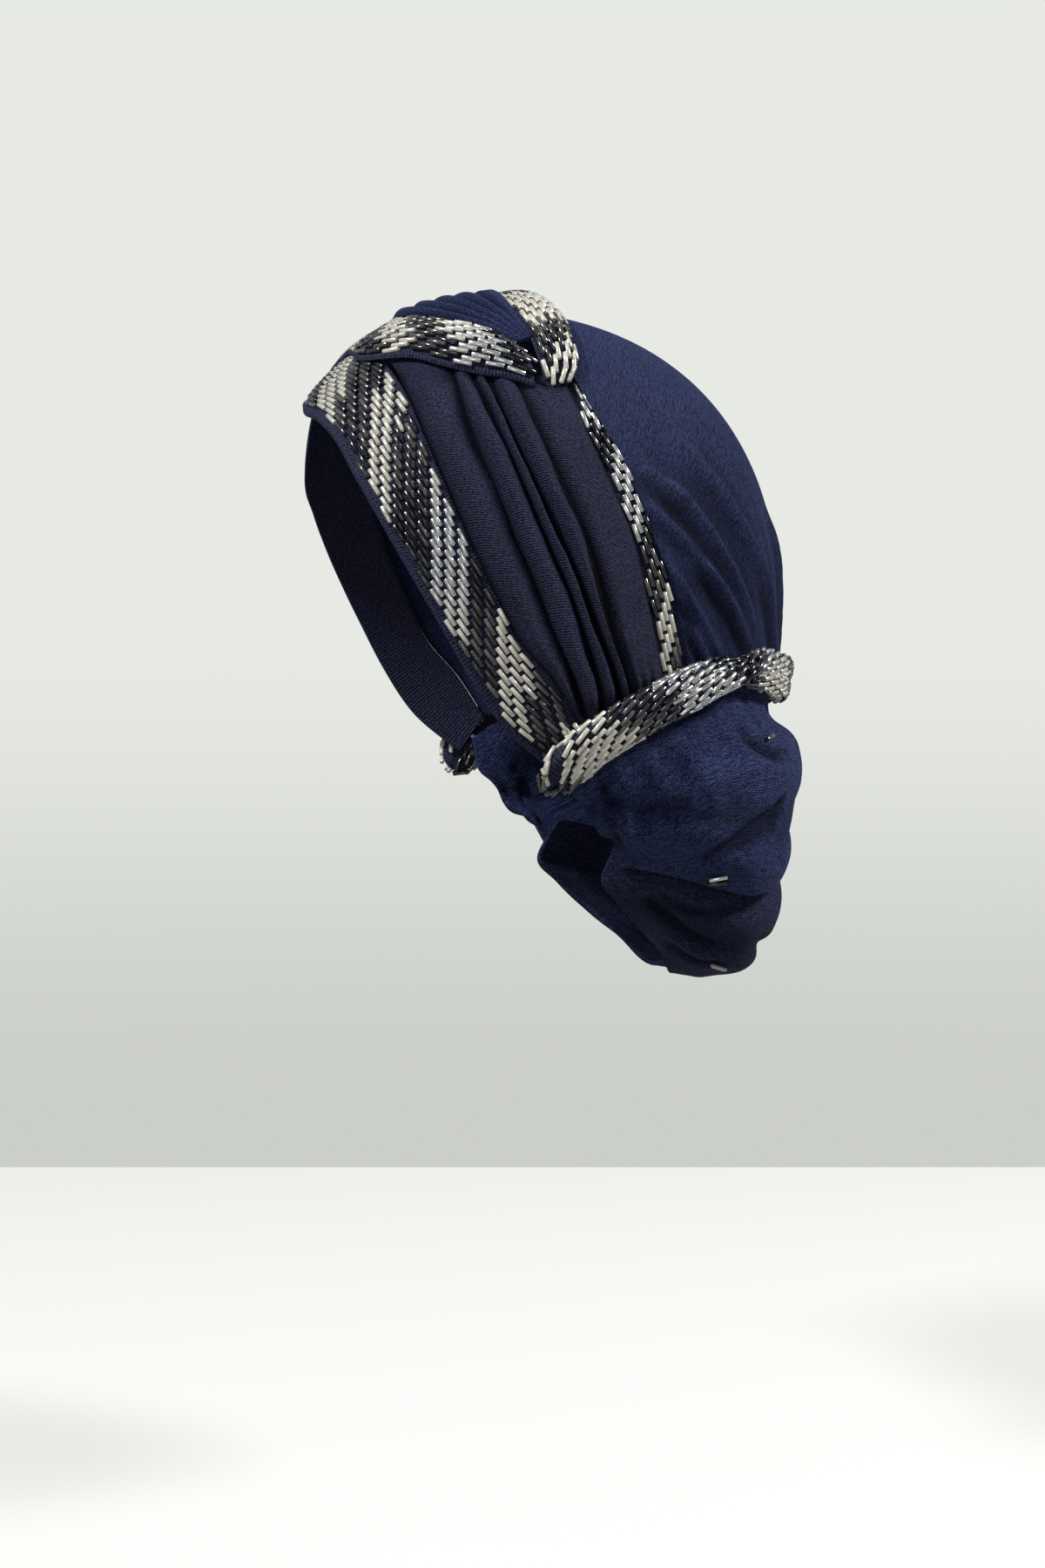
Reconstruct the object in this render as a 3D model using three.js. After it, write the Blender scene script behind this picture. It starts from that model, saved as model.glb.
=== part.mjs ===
import * as THREE from "three";
import { mergeVertices } from "three/addons/utils/BufferGeometryUtils.js";

// Turban headwrap with beaded edge bands, in the form it has when it is worn.
// Millimetres, +Z up, the face towards -Y, the wearer's left towards +X.
// The origin is the inside top of the crown, where the top of the head bears.

// The head form that the wrap closes round: a rounded egg about its middle
const headMiddle = new THREE.Vector3(0, 0, -128);
const headHalf = { side: 80, front: 97, back: 121, up: 128, down: 100 };
const planPower = 2.1;
const heightPower = 2.5;

// Walls and clearances
const panelSeam = 0.6; // between a pleated panel and the bands beside it
const crownSeam = 0.022; // between the crown and the rear bands, as a share of its width
const skinClear = 0.3; // between the head form and the innermost cloth
const clothWall = 1.6;
const bandWall = 2.3; // backing cloth and the beads on it
const bagWall = 1.8;
const creaseLift = clothWall + skinClear; // of a panel's creases off the head

// Where each band runs: its two edges as points on the head form, and how far each stands off it
const leftFrontRows = [
  { front: [-30, -67, -25], rear: [-20, -48, -8] },
  { front: [-12, -76, -31], rear: [-4, -53, -10] },
  { front: [6, -80, -35], rear: [17, -54, -12] },
  { front: [24, -77, -40], rear: [36, -50, -20] },
  { front: [40, -73, -49], rear: [52, -47, -30] },
  { front: [52, -68, -63], rear: [62, -43, -45] },
  { front: [60, -63, -75], rear: [69, -39, -58] },
  { front: [71, -51, -100], rear: [78, -28, -88] },
  { front: [76, -39, -122], rear: [82, -17, -112] },
  { front: [79, -28, -142], rear: [83, -8, -129] },
  { front: [79, -14, -162], rear: [82, 6, -145] },
  { front: [77, 6, -179], rear: [81, 18, -164] },
];
const leftRearRows = [
  { front: [60, 18, -25], rear: [60, 24, -25] },
  { front: [66, 20, -37], rear: [64, 28, -35] },
  { front: [70, 23, -48], rear: [68, 32, -45] },
  { front: [75, 31, -68], rear: [72, 40, -64] },
  { front: [77, 39, -88], rear: [75, 48, -85] },
  { front: [78, 45, -112], rear: [75, 56, -109] },
  { front: [76, 51, -140], rear: [73, 62, -139] },
  { front: [75, 54, -153], rear: [71, 66, -151] },
];
// The front strap of the right wrap, from its tip on the left over the forehead to the right side
const frontStrapRows = [
  { front: [64, 2, -27], rear: [57, 2, -14], lifts: [5.5, 8, 8] },
  { front: [62, -9, -25], rear: [55, -5, -7], lifts: [6.8, 10.5, 10] },
  { front: [59, -21, -23], rear: [49, -15, -3], lifts: [6.8, 12, 11] },
  { front: [53, -33, -19], rear: [42, -25, 0], lifts: [6.8, 12.5, 11] },
  { front: [44, -43, -16], rear: [33, -33, 3], lifts: [6.8, 12, 10.5] },
  { front: [34, -54, -15], rear: [20, -39, 4], lifts: [6.2, 10, 9.5] },
  { front: [22, -60, -15], rear: [5, -41, 4], lifts: [5.5, 7.4, 8.4] },
  { front: [5, -59, -13], rear: [-11, -40, 3], lifts: [5.5, 6.2, 7] },
  { front: [-12, -58, -14], rear: [-26, -39, -2], lifts: [5.5, 6, 6.2] },
  { front: [-29, -63, -27], rear: [-41, -42, -14], lifts: [5.5, 6, 5.5] },
  { front: [-43, -67, -45], rear: [-53, -44, -30], lifts: [4, 4.2, 4] },
];
// The rear strap of the right wrap, from its tip on the left over the crown to the right side
const rearStrapRows = [
  { front: [62, 7, -24], rear: [61, 16, -27], lifts: [5.5, 6.5, 5.2] },
  { front: [60, 5, -15], rear: [59, 21, -20], lifts: [9, 10, 7] },
  { front: [55, 3, -6], rear: [54, 22, -10], lifts: [11.5, 12.5, 8.5] },
  { front: [47, -1, 3], rear: [42, 22, 1], lifts: [13, 14.5, 9.2] },
  { front: [32, -3, 10], rear: [28, 22, 7], lifts: [13.5, 15.5, 9.2] },
  { front: [16, -3, 14], rear: [13, 22, 10], lifts: [13, 15, 9.2] },
  { front: [-2, -2, 15], rear: [-4, 22, 10], lifts: [12, 14, 9.2] },
  { front: [-21, 0, 10], rear: [-21, 22, 7], lifts: [9.5, 11.5, 9] },
  { front: [-38, 4, 0], rear: [-37, 24, -2], lifts: [6.5, 8.5, 8.3] },
  { front: [-51, 11, -12], rear: [-50, 27, -13], lifts: [4, 6, 6] },
];
const bandLifts = [2.6, 2.8, 2.6]; // a plain band's edges and middle

// Pleats: where each crease lies between a panel's two bands, as a share of the way across
const leftCreases = [
  { top: 0.33, upper: 0.275, middle: 0.26, lower: 0.24, tie: 0.08 },
  { top: 0.41, upper: 0.43, middle: 0.43, lower: 0.44, tie: 0.28 },
  { top: 0.52, upper: 0.495, middle: 0.52, lower: 0.55, tie: 0.48 },
  { top: 0.65, upper: 0.655, middle: 0.665, lower: 0.64, tie: 0.57 },
];
const rightCreases = [
  { top: 0.2, upper: 0.2, middle: 0.3, lower: 0.32, tie: 0.2 },
  { top: 0.4, upper: 0.4, middle: 0.43, lower: 0.44, tie: 0.35 },
  { top: 0.6, upper: 0.6, middle: 0.56, lower: 0.55, tie: 0.5 },
  { top: 0.8, upper: 0.8, middle: 0.7, lower: 0.66, tie: 0.65 },
];
const pleatHeights = [1.2, 2.8, 2.8, 3.2, 1.4]; // of the roll before each crease and after the last one
const pleatLean = 1.3; // over 1 leans a roll's crest towards the next crease
const pleatFullness = 0.8; // under 1 squares a roll
// Shares of a panel's length over which its rolls rise out of the top edge and flatten under the tie
const leftRollsRise = { from: -0.05, to: 0.25 };
const rightRollsRise = { from: -0.1, to: 0.1 };
const rollsPressed = { from: 0.88, to: 0.95 };
const knotRolls = { height: 3.2, fadeFrom: 0.1 }; // where the right wrap crosses the crown
// How far the right panel stands off the head beside its two straps, from the knot's tip to half way down
const knotRows = [
  { front: 7.6, rear: 9.5 },
  { front: 9, rear: 11.5 },
  { front: 8, rear: 11.5 },
  { front: 6.3, rear: 9.5 },
  { front: 4.2, rear: 5.5 },
  { front: 1.9, rear: 1.9 },
];
const knotEnd = 0.5; // share of the right panel's length that the knot lifts
const crownLift = 2.2; // of the crown's outer face off the head
// How far the crown reaches under the rear strap, row by row, as a share of the strap's width
const crownTucks = [0.1, 0.25, 0.25, 0.25, 0.25, 0.25, 0.22, 0.1, -0.06];
const crownRise = { height: 4, fullness: 0.6, gone: 0.5 }; // more of it beside the rear strap
const crownPinch = { depth: 1.6, from: 0.68, full: 0.9, sides: 0.15 }; // less of it above the tie
const crownGather = { height: 0.8, folds: 9, growth: 4 }; // soft gathers that grow towards the tie
const crownCorner = 4; // how late the crown's sides turn to its rim's corners
const crownRimShare = 0.2; // where the crown's lower edge starts, as a share of the rim

// Where the cloth of crown and panels ends under the tie: left side, front to back
const rimRows = [
  { at: [80, 12, -176], lift: 2.2 },
  { at: [80, 25, -168], lift: 2.2 },
  { at: [79, 38, -162], lift: 2.2 },
  { at: [75, 56, -156], lift: 2 },
  { at: [68, 74, -151], lift: 1.2 },
  { at: [56, 92, -148], lift: 0.6 },
  { at: [38, 107, -150], lift: 0.6 },
  { at: [0, 119, -152.6], lift: 0.6 },
];
// Where the nape bag comes out below the tie
const hemRows = [
  { at: [78, 14, -187], lift: 2.4 },
  { at: [80, 25, -179], lift: 2.6 },
  { at: [80, 38, -170], lift: 2.6 },
  { at: [77, 56, -162], lift: 2.6 },
  { at: [68, 76, -155], lift: 2.4 },
  { at: [56, 94, -153], lift: 2 },
  { at: [38, 107, -156], lift: 1.6 },
  { at: [0, 119, -159.5], lift: 1.6 },
];

// The tie: a folded and twisted length of band round the back of the head, left side, front to back
const tieRows = [
  { at: [80, 6, -181], lift: 7.8, rest: 3.2, tall: 18, thick: 9, turn: -12 },
  { at: [82, 11, -174], lift: 8.4, rest: 3.2, tall: 22, thick: 10, turn: -8 },
  { at: [83, 21, -166], lift: 8.4, rest: 3.2, tall: 20, thick: 10, turn: 0 },
  { at: [83, 38, -157], lift: 8.5, rest: 3.2, tall: 19.5, thick: 10, turn: 0 },
  { at: [80, 56, -149], lift: 8.7, rest: 3.2, tall: 18.5, thick: 10, turn: 8 },
  { at: [72, 76, -141], lift: 8.6, rest: 3.2, tall: 15.5, thick: 11, turn: 60 },
  { at: [58, 95, -139], lift: 5.6, rest: 2.8, tall: 17.5, thick: 8.5, turn: 150 },
  { at: [38, 111, -142], lift: 4, rest: 1.8, tall: 18.5, thick: 7, turn: 172 },
  { at: [0, 120, -145], lift: 3.6, rest: 2, tall: 19, thick: 6.6, turn: 180 },
];

// The nape bag and the tail layer below it, level by level: half width, how far back and forward it
// reaches, and the height of that level at the back, at the sides and at the front edges
const bagRows = [
  { wide: 83, back: 125, front: 18, heights: [-165, -172, -191] },
  { wide: 84, back: 127.5, front: 22, heights: [-175, -184, -196] },
  { wide: 82, back: 128, front: 27, heights: [-188, -198, -202] },
  { wide: 76, back: 127.5, front: 33, heights: [-201, -213, -207] },
  { wide: 69, back: 126, front: 37, heights: [-210, -225, -214] },
  { wide: 64, back: 124.5, front: 40, heights: [-215, -231, -218] },
  { wide: 60.5, back: 120.5, front: 43, heights: [-210, -227, -215] },
];
const tailRows = [
  { wide: 54, back: 115, front: 42, heights: [-202, -216, -206] },
  { wide: 56.8, back: 119, front: 37.5, heights: [-210.5, -225.5, -214.5] },
  { wide: 57, back: 124, front: 34, heights: [-225, -237, -225] },
  { wide: 53, back: 123, front: 42, heights: [-240, -248, -235] },
  { wide: 45, back: 119, front: 54, heights: [-252, -258, -245] },
  { wide: 36, back: 111, front: 63, heights: [-261, -264, -255] },
  { wide: 26, back: 102, front: 70, heights: [-267, -268, -263] },
  { wide: 15, back: 91, front: 75, heights: [-268.5, -269, -267] },
  { wide: 6, back: 85, front: 79, heights: [-265, -265, -265] },
];
const pouchBalance = 0.4; // where a pouch level has its middle, from its front edges to its back
const pouchEndAngle = 122; // plan angle of their front edges from straight back, degrees
const pouchDrop = 0.6; // of a pouch's top below the line that it hangs from
// Swags across each pouch: their depth, how many lie above each other, and how much they sag
const bagSwags = { depth: 1.2, count: 2.5, sag: 3 };
const tailSwags = { depth: 1.3, count: 3, sag: 2 };

const tieRoundness = 0.75; // under 1 squares the tie's section
const tieEndRings = [
  { scale: 0.35, shift: 5 },
  { scale: 0.75, shift: 3.2 },
];
const slopeStep = 0.01; // share of a surface over which its slope is measured
const tieSlopeStep = 0.002;

// Faces across and along each piece; a panel's are counted roll by roll
const gridSteps = {
  frontBandLeft: [4, 24],
  frontBandRight: [4, 36],
  rearBandLeft: [3, 16],
  rearBandRight: [4, 30],
  panelLeft: [[3, 4, 4, 4, 3], 18],
  panelRight: [[4, 4, 4, 4, 4], 28],
  crown: [32, 12],
  tie: [12, 40],
  bag: [26, 13],
  tail: [24, 12],
};

const navyCloth = { color: 0x1c2750, roughness: 0.75, metalness: 0 };
const beadedCloth = { color: 0x8d8c7e, roughness: 0.35, metalness: 0.25 };

// Radius of the head form in one direction from its middle
function headRadius(direction) {
  const depth = direction.y < 0 ? headHalf.front : headHalf.back;
  const height = direction.z < 0 ? headHalf.down : headHalf.up;
  const sideways = Math.abs(direction.x / headHalf.side) ** planPower;
  const plan = sideways + Math.abs(direction.y / depth) ** planPower;
  const whole = plan ** (heightPower / planPower) + Math.abs(direction.z / height) ** heightPower;
  return whole ** (-1 / heightPower);
}

// The point over the head form in the direction of a given point, lifted off it
function onHead(point, lift) {
  const direction = point.clone().sub(headMiddle).normalize();
  return headMiddle.clone().addScaledVector(direction, headRadius(direction) + lift);
}

function towardsMiddle(point, distance) {
  const direction = point.clone().sub(headMiddle).normalize();
  return point.clone().addScaledVector(direction, -distance);
}

function smoothBetween(before, start, end, after, share) {
  const slopeStart = (end - before) / 2;
  const slopeEnd = (after - start) / 2;
  const rise = end - start;
  const cubic = slopeStart + slopeEnd - 2 * rise;
  const square = 3 * rise - 2 * slopeStart - slopeEnd;
  return start + share * (slopeStart + share * (square + share * cubic));
}

// A smooth value of one column of a table, at a share of the way down its rows
function column(rows, name, share) {
  const last = rows.length - 1;
  const place = THREE.MathUtils.clamp(share, 0, 1) * last;
  const index = Math.min(Math.floor(place), last - 1);
  const cell = (i) => rows[THREE.MathUtils.clamp(i, 0, last)][name];
  const near = [cell(index - 1), cell(index), cell(index + 1), cell(index + 2)];
  if (typeof near[0] === "number") return smoothBetween(...near, place - index);
  return near[0].map((_, axis) => smoothBetween(...near.map((value) => value[axis]), place - index));
}

function pointAt(rows, name, share) {
  return new THREE.Vector3(...column(rows, name, share));
}

function mirrored(rows) {
  const flip = ([x, y, z]) => [-x, y, z];
  return rows.map((row) => ({ ...row, front: flip(row.front), rear: flip(row.rear) }));
}

function withLifts(rows) {
  return rows.map((row) => ({ lifts: bandLifts, ...row }));
}

// One edge of a band as a curve that can be walked evenly
function edgeCurve(rows, name) {
  const count = 6 * rows.length;
  const points = Array.from({ length: count + 1 }, (_, i) => pointAt(rows, name, i / count));
  return new THREE.CatmullRomCurve3(points);
}

// A closed wall from a grid of outer points and the matching inner points
function wallGeometry(across, lengthwise, outerAt, innerAt) {
  const positions = [];
  for (const pointOf of [outerAt, innerAt]) {
    for (let j = 0; j <= lengthwise; j++) {
      for (let i = 0; i <= across; i++) positions.push(...pointOf(i / across, j / lengthwise).toArray());
    }
  }
  const layer = (across + 1) * (lengthwise + 1);
  const outer = (i, j) => j * (across + 1) + i;
  const inner = (i, j) => layer + outer(i, j);
  const faces = [];
  const quad = (a, b, c, d) => faces.push(a, b, c, a, c, d);
  for (let j = 0; j < lengthwise; j++) {
    for (let i = 0; i < across; i++) {
      quad(outer(i, j), outer(i, j + 1), outer(i + 1, j + 1), outer(i + 1, j));
      quad(inner(i, j), inner(i + 1, j), inner(i + 1, j + 1), inner(i, j + 1));
    }
    quad(outer(0, j), inner(0, j), inner(0, j + 1), outer(0, j + 1));
    quad(outer(across, j), outer(across, j + 1), inner(across, j + 1), inner(across, j));
  }
  for (let i = 0; i < across; i++) {
    quad(outer(i, 0), outer(i + 1, 0), inner(i + 1, 0), inner(i, 0));
    quad(outer(i, lengthwise), inner(i, lengthwise), inner(i + 1, lengthwise), outer(i + 1, lengthwise));
  }
  return outward(positions, faces);
}

// Vertices and faces as a geometry whose faces point out
function outward(positions, faces) {
  let volume = 0;
  const corner = (i) => new THREE.Vector3().fromArray(positions, 3 * i);
  for (let f = 0; f < faces.length; f += 3) {
    volume += corner(faces[f]).dot(corner(faces[f + 1]).cross(corner(faces[f + 2])));
  }
  if (volume < 0) faces.reverse();
  const geometry = new THREE.BufferGeometry();
  geometry.setAttribute("position", new THREE.Float32BufferAttribute(positions, 3));
  geometry.setIndex(faces);
  const merged = mergeVertices(geometry, 1e-4);
  merged.computeVertexNormals();
  return merged;
}

function namedMesh(name, finish, geometry) {
  const mesh = new THREE.Mesh(geometry, new THREE.MeshStandardMaterial({ ...finish, name }));
  mesh.name = name;
  return mesh;
}

// Height of a band's outer face across its width, through its two edges and its crest
function bandLift(lifts, share) {
  const [front, crest, rear] = lifts;
  return share < 0.5
    ? front + (crest - front) * Math.sin(Math.PI * share)
    : rear + (crest - rear) * Math.sin(Math.PI * share);
}

function beadedBand(name, rows, [across, lengthwise]) {
  const outerAt = (u, v) => {
    const edge = pointAt(rows, "front", v).lerp(pointAt(rows, "rear", v), u);
    return onHead(edge, bandLift(column(rows, "lifts", v), u));
  };
  const innerAt = (u, v) => towardsMiddle(outerAt(u, v), bandWall);
  return namedMesh(name, beadedCloth, wallGeometry(across, lengthwise, outerAt, innerAt));
}

// Creases with the panel's two sides added, each as the share of the way across at one level
function creaseShares(creases, level) {
  const stations = ["top", "upper", "middle", "lower", "tie"];
  const inside = creases.map((crease) => {
    const rows = stations.map((station) => ({ share: crease[station] }));
    return column(rows, "share", level);
  });
  return [0, ...inside, 1];
}

// A pleated panel between two band edges. Each roll rises from its front crease and drops steeply
// into the next one, as a pleat laid over its neighbour does
function pleatedPanel(name, { frontEdge, rearEdge, creases, liftAt, rollAt }, [rollSteps, lengthwise]) {
  const columns = rollSteps.flatMap((count, roll) => {
    return Array.from({ length: count }, (_, k) => ({ roll, within: k / count }));
  });
  columns.push({ roll: rollSteps.length - 1, within: 1 });
  const outerAt = (u, v) => {
    const { roll, within } = columns[Math.round(u * (columns.length - 1))];
    const shares = creaseShares(creases, v);
    const share = THREE.MathUtils.lerp(shares[roll], shares[roll + 1], within);
    const front = frontEdge.getPointAt(v);
    const rear = rearEdge.getPointAt(v);
    const inset = panelSeam / front.distanceTo(rear);
    const rise = Math.sin(Math.PI * within ** pleatLean) ** pleatFullness * rollAt(roll, v);
    return onHead(front.lerp(rear, inset + (1 - 2 * inset) * share), liftAt(share, v) + rise);
  };
  const innerAt = (u, v) => towardsMiddle(outerAt(u, v), clothWall);
  return namedMesh(name, navyCloth, wallGeometry(columns.length - 1, lengthwise, outerAt, innerAt));
}

// A line on the head form from the left front round the back to the right front
function backCurve(rows) {
  const left = rows.map(({ at, lift }) => onHead(new THREE.Vector3(...at), lift));
  const right = left.slice(0, -1).reverse().map(({ x, y, z }) => new THREE.Vector3(-x, y, z));
  return new THREE.CatmullRomCurve3([...left, ...right]);
}

// The crown's back: a patch between the rear strap, the two rear bands and the rim
function crownBack(name, rearStrap, [leftSide, rightSide], rim, [across, lengthwise]) {
  const topPoints = crownTucks.map((share, i) => {
    const { front, rear } = rearStrap[i + 1];
    return new THREE.Vector3(...rear).lerp(new THREE.Vector3(...front), share);
  });
  const topLeft = leftSide.getPoint(0);
  const topRight = rightSide.getPoint(0);
  const top = new THREE.CatmullRomCurve3([topLeft, ...topPoints, topRight]);
  const bottomAt = (u) => rim.getPointAt(THREE.MathUtils.lerp(crownRimShare, 1 - crownRimShare, u));
  const sideAt = (side, corner, v) => {
    const miss = corner.clone().sub(side.getPoint(1));
    return side.getPointAt(v).addScaledVector(miss, v ** crownCorner);
  };
  const placeAt = (u, v) => {
    const sides = sideAt(leftSide, bottomAt(0), v).lerp(sideAt(rightSide, bottomAt(1), v), u);
    const ends = top.getPointAt(u).lerp(bottomAt(u), v);
    const lower = bottomAt(0).lerp(bottomAt(1), u);
    const corners = topLeft.clone().lerp(topRight, u).lerp(lower, v);
    const place = sides.add(ends).sub(corners);
    place.x *= 1 - crownSeam;
    return place;
  };
  const liftAt = (u, v) => {
    const bow = Math.sin(Math.PI * u) ** crownRise.fullness;
    const rise = crownRise.height * bow * (1 - THREE.MathUtils.smoothstep(v, 0, crownRise.gone));
    const clearOfSides = THREE.MathUtils.smoothstep(Math.min(u, 1 - u), 0, crownPinch.sides);
    const drawnIn = clearOfSides * THREE.MathUtils.smoothstep(v, crownPinch.from, crownPinch.full);
    const gather = (Math.cos(2 * Math.PI * crownGather.folds * u) - 1) * v ** crownGather.growth;
    return crownLift + rise - crownPinch.depth * drawnIn + crownGather.height * gather;
  };
  const outerAt = (u, v) => onHead(placeAt(u, v), liftAt(u, v));
  const innerAt = (u, v) => towardsMiddle(outerAt(u, v), clothWall);
  return namedMesh(name, navyCloth, wallGeometry(across, lengthwise, outerAt, innerAt));
}

// A solid length of band swept along its rows, with rounded ends
function tieSolid(name, rows, [around, lengthwise]) {
  const mirroredRows = rows.slice(0, -1).reverse().map((row) => {
    return { ...row, at: [-row.at[0], row.at[1], row.at[2]], turn: 360 - row.turn };
  });
  const all = [...rows, ...mirroredRows];
  const centreAt = (v) => onHead(pointAt(all, "at", v), column(all, "lift", v));
  const positions = [];
  const rings = [];
  const addRing = (v, scale, shift) => {
    const centre = centreAt(v);
    const before = centreAt(Math.max(v - tieSlopeStep, 0));
    const along = centreAt(Math.min(v + tieSlopeStep, 1)).sub(before).normalize();
    const out = centre.clone().sub(headMiddle);
    out.addScaledVector(along, -out.dot(along)).normalize();
    const down = along.clone().cross(out);
    const turn = THREE.MathUtils.degToRad(column(all, "turn", v));
    const tall = (scale * column(all, "tall", v)) / 2;
    const thick = (scale * column(all, "thick", v)) / 2;
    centre.addScaledVector(along, shift);
    rings.push(positions.length / 3);
    for (let k = 0; k < around; k++) {
      const angle = (2 * Math.PI * k) / around;
      const side = tall * Math.sign(Math.cos(angle)) * Math.abs(Math.cos(angle)) ** tieRoundness;
      const face = thick * Math.sign(Math.sin(angle)) * Math.abs(Math.sin(angle)) ** tieRoundness;
      const low = side * Math.cos(turn) - face * Math.sin(turn);
      const far = side * Math.sin(turn) + face * Math.cos(turn);
      const point = centre.clone().addScaledVector(down, low).addScaledVector(out, far);
      const resting = onHead(point, column(all, "rest", v));
      const above = point.distanceTo(headMiddle) > resting.distanceTo(headMiddle);
      positions.push(...(above ? point : resting).toArray());
    }
  };
  for (const { scale, shift } of tieEndRings) addRing(0, scale, -shift);
  for (let j = 0; j <= lengthwise; j++) addRing(j / lengthwise, 1, 0);
  for (const { scale, shift } of [...tieEndRings].reverse()) addRing(1, scale, shift);
  const faces = [];
  for (let r = 0; r + 1 < rings.length; r++) {
    for (let k = 0; k < around; k++) {
      const next = (k + 1) % around;
      const [a, b] = [rings[r], rings[r + 1]];
      faces.push(a + k, a + next, b + next, a + k, b + next, b + k);
    }
  }
  for (let k = 1; k + 1 < around; k++) {
    const last = rings[rings.length - 1];
    faces.push(rings[0], rings[0] + k + 1, rings[0] + k);
    faces.push(last, last + k, last + k + 1);
  }
  return namedMesh(name, beadedCloth, outward(positions, faces));
}

// A point of a pouch level at a plan angle from straight back
function pouchPoint(row, degrees) {
  const angle = THREE.MathUtils.degToRad(degrees);
  const endCosine = Math.cos(THREE.MathUtils.degToRad(pouchEndAngle));
  const centre = THREE.MathUtils.lerp(row.front, row.back, pouchBalance);
  const reach = Math.cos(angle) > 0 ? row.back - centre : (row.front - centre) / endCosine;
  const heights = row.heights.map((height) => ({ height }));
  return new THREE.Vector3(
    row.wide * Math.sin(angle),
    centre + reach * Math.cos(angle),
    column(heights, "height", Math.abs(degrees) / pouchEndAngle),
  );
}

// A pouch of cloth that hangs open towards the neck. Its levels run from the top down: first any
// given as curves from the left front round the back to the right front, then the table's rows
function hangingPouch(name, curves, rows, swags, [across, lengthwise]) {
  const levelsAt = (u) => {
    const degrees = THREE.MathUtils.lerp(pouchEndAngle, -pouchEndAngle, u);
    const levels = [
      ...curves.map((curve) => curve.getPointAt(u).setZ(curve.getPointAt(u).z - pouchDrop)),
      ...rows.map((row) => pouchPoint(row, degrees)),
    ];
    return levels.map((point) => ({ at: point.toArray() }));
  };
  const smoothAt = (u, v) => pointAt(levelsAt(u), "at", v);
  const outwardAt = (u, v) => {
    const left = smoothAt(Math.max(u - slopeStep, 0), v);
    const above = smoothAt(u, Math.max(v - slopeStep, 0));
    const acrossStep = smoothAt(Math.min(u + slopeStep, 1), v).sub(left);
    const downStep = smoothAt(u, Math.min(v + slopeStep, 1)).sub(above);
    return downStep.cross(acrossStep).normalize();
  };
  const swagAt = (u, v) => {
    const wave = Math.cos(2 * Math.PI * (swags.count * v + swags.sag * (u - 0.5) ** 2));
    return swags.depth * wave * Math.sin(Math.PI * v) ** 2;
  };
  const outerAt = (u, v) => smoothAt(u, v).addScaledVector(outwardAt(u, v), swagAt(u, v));
  const innerAt = (u, v) => smoothAt(u, v).addScaledVector(outwardAt(u, v), swagAt(u, v) - bagWall);
  return namedMesh(name, navyCloth, wallGeometry(across, lengthwise, outerAt, innerAt));
}

// The tie presses the rolls flat at the panels' lower ends
function pressed(level) {
  return 1 - THREE.MathUtils.smoothstep(level, rollsPressed.from, rollsPressed.to);
}

function leftRoll(roll, level) {
  const risen = THREE.MathUtils.smoothstep(level, leftRollsRise.from, leftRollsRise.to);
  return pleatHeights[roll] * risen * pressed(level);
}

function rightRoll(roll, level) {
  const risen = THREE.MathUtils.smoothstep(level, rightRollsRise.from, rightRollsRise.to);
  const pastKnot = THREE.MathUtils.smoothstep(level, knotRolls.fadeFrom, knotEnd);
  return THREE.MathUtils.lerp(knotRolls.height, pleatHeights[roll], pastKnot) * risen * pressed(level);
}

function rightPanelLift(share, level) {
  const knot = Math.min(level / knotEnd, 1);
  return THREE.MathUtils.lerp(column(knotRows, "front", knot), column(knotRows, "rear", knot), share);
}

const leftFront = withLifts(leftFrontRows);
const leftRear = withLifts(leftRearRows);
const rightFront = withLifts([...frontStrapRows, ...mirrored(leftFrontRows).slice(5)]);
const rightRear = withLifts([...rearStrapRows, ...mirrored(leftRearRows)]);
const rim = backCurve(rimRows);
const hem = backCurve(hemRows);

// The left panel runs from under the front strap to the tie, the right one from the knot's tip
const leftPanel = {
  frontEdge: edgeCurve([{ rear: [33, -50, -15] }, ...leftFront.slice(4)], "rear"),
  rearEdge: edgeCurve([{ front: [60, 10, -20] }, { front: [61, 16, -26] }, ...leftRear.slice(1)], "front"),
  creases: leftCreases,
  liftAt: () => creaseLift,
  rollAt: leftRoll,
};
const rightPanel = {
  frontEdge: edgeCurve(rightFront.slice(1), "rear"),
  rearEdge: edgeCurve(rightRear.slice(2), "front"),
  creases: rightCreases,
  liftAt: rightPanelLift,
  rollAt: rightRoll,
};
const crownSideRows = [{ front: [60, 24, -25], rear: [59.5, 27, -24] }, ...leftRear.slice(1)];
const crownSides = [edgeCurve(crownSideRows, "rear"), edgeCurve(mirrored(crownSideRows), "rear")];

const wrap = new THREE.Group();
wrap.name = "turban_headwrap";
wrap.add(
  beadedBand("front_band_left", leftFront, gridSteps.frontBandLeft),
  beadedBand("front_band_right", rightFront, gridSteps.frontBandRight),
  beadedBand("rear_band_left", leftRear, gridSteps.rearBandLeft),
  beadedBand("rear_band_right", rightRear, gridSteps.rearBandRight),
  pleatedPanel("panel_left", leftPanel, gridSteps.panelLeft),
  pleatedPanel("panel_right", rightPanel, gridSteps.panelRight),
  crownBack("crown_back", rearStrapRows, crownSides, rim, gridSteps.crown),
  tieSolid("tie_band", tieRows, gridSteps.tie),
  hangingPouch("nape_bag", [rim, hem], bagRows, bagSwags, gridSteps.bag),
  hangingPouch("tail_fold", [], tailRows, tailSwags, gridSteps.tail),
);

export default wrap;
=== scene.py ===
# Turban headwrap with beaded edge bands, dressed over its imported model
import math

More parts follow.
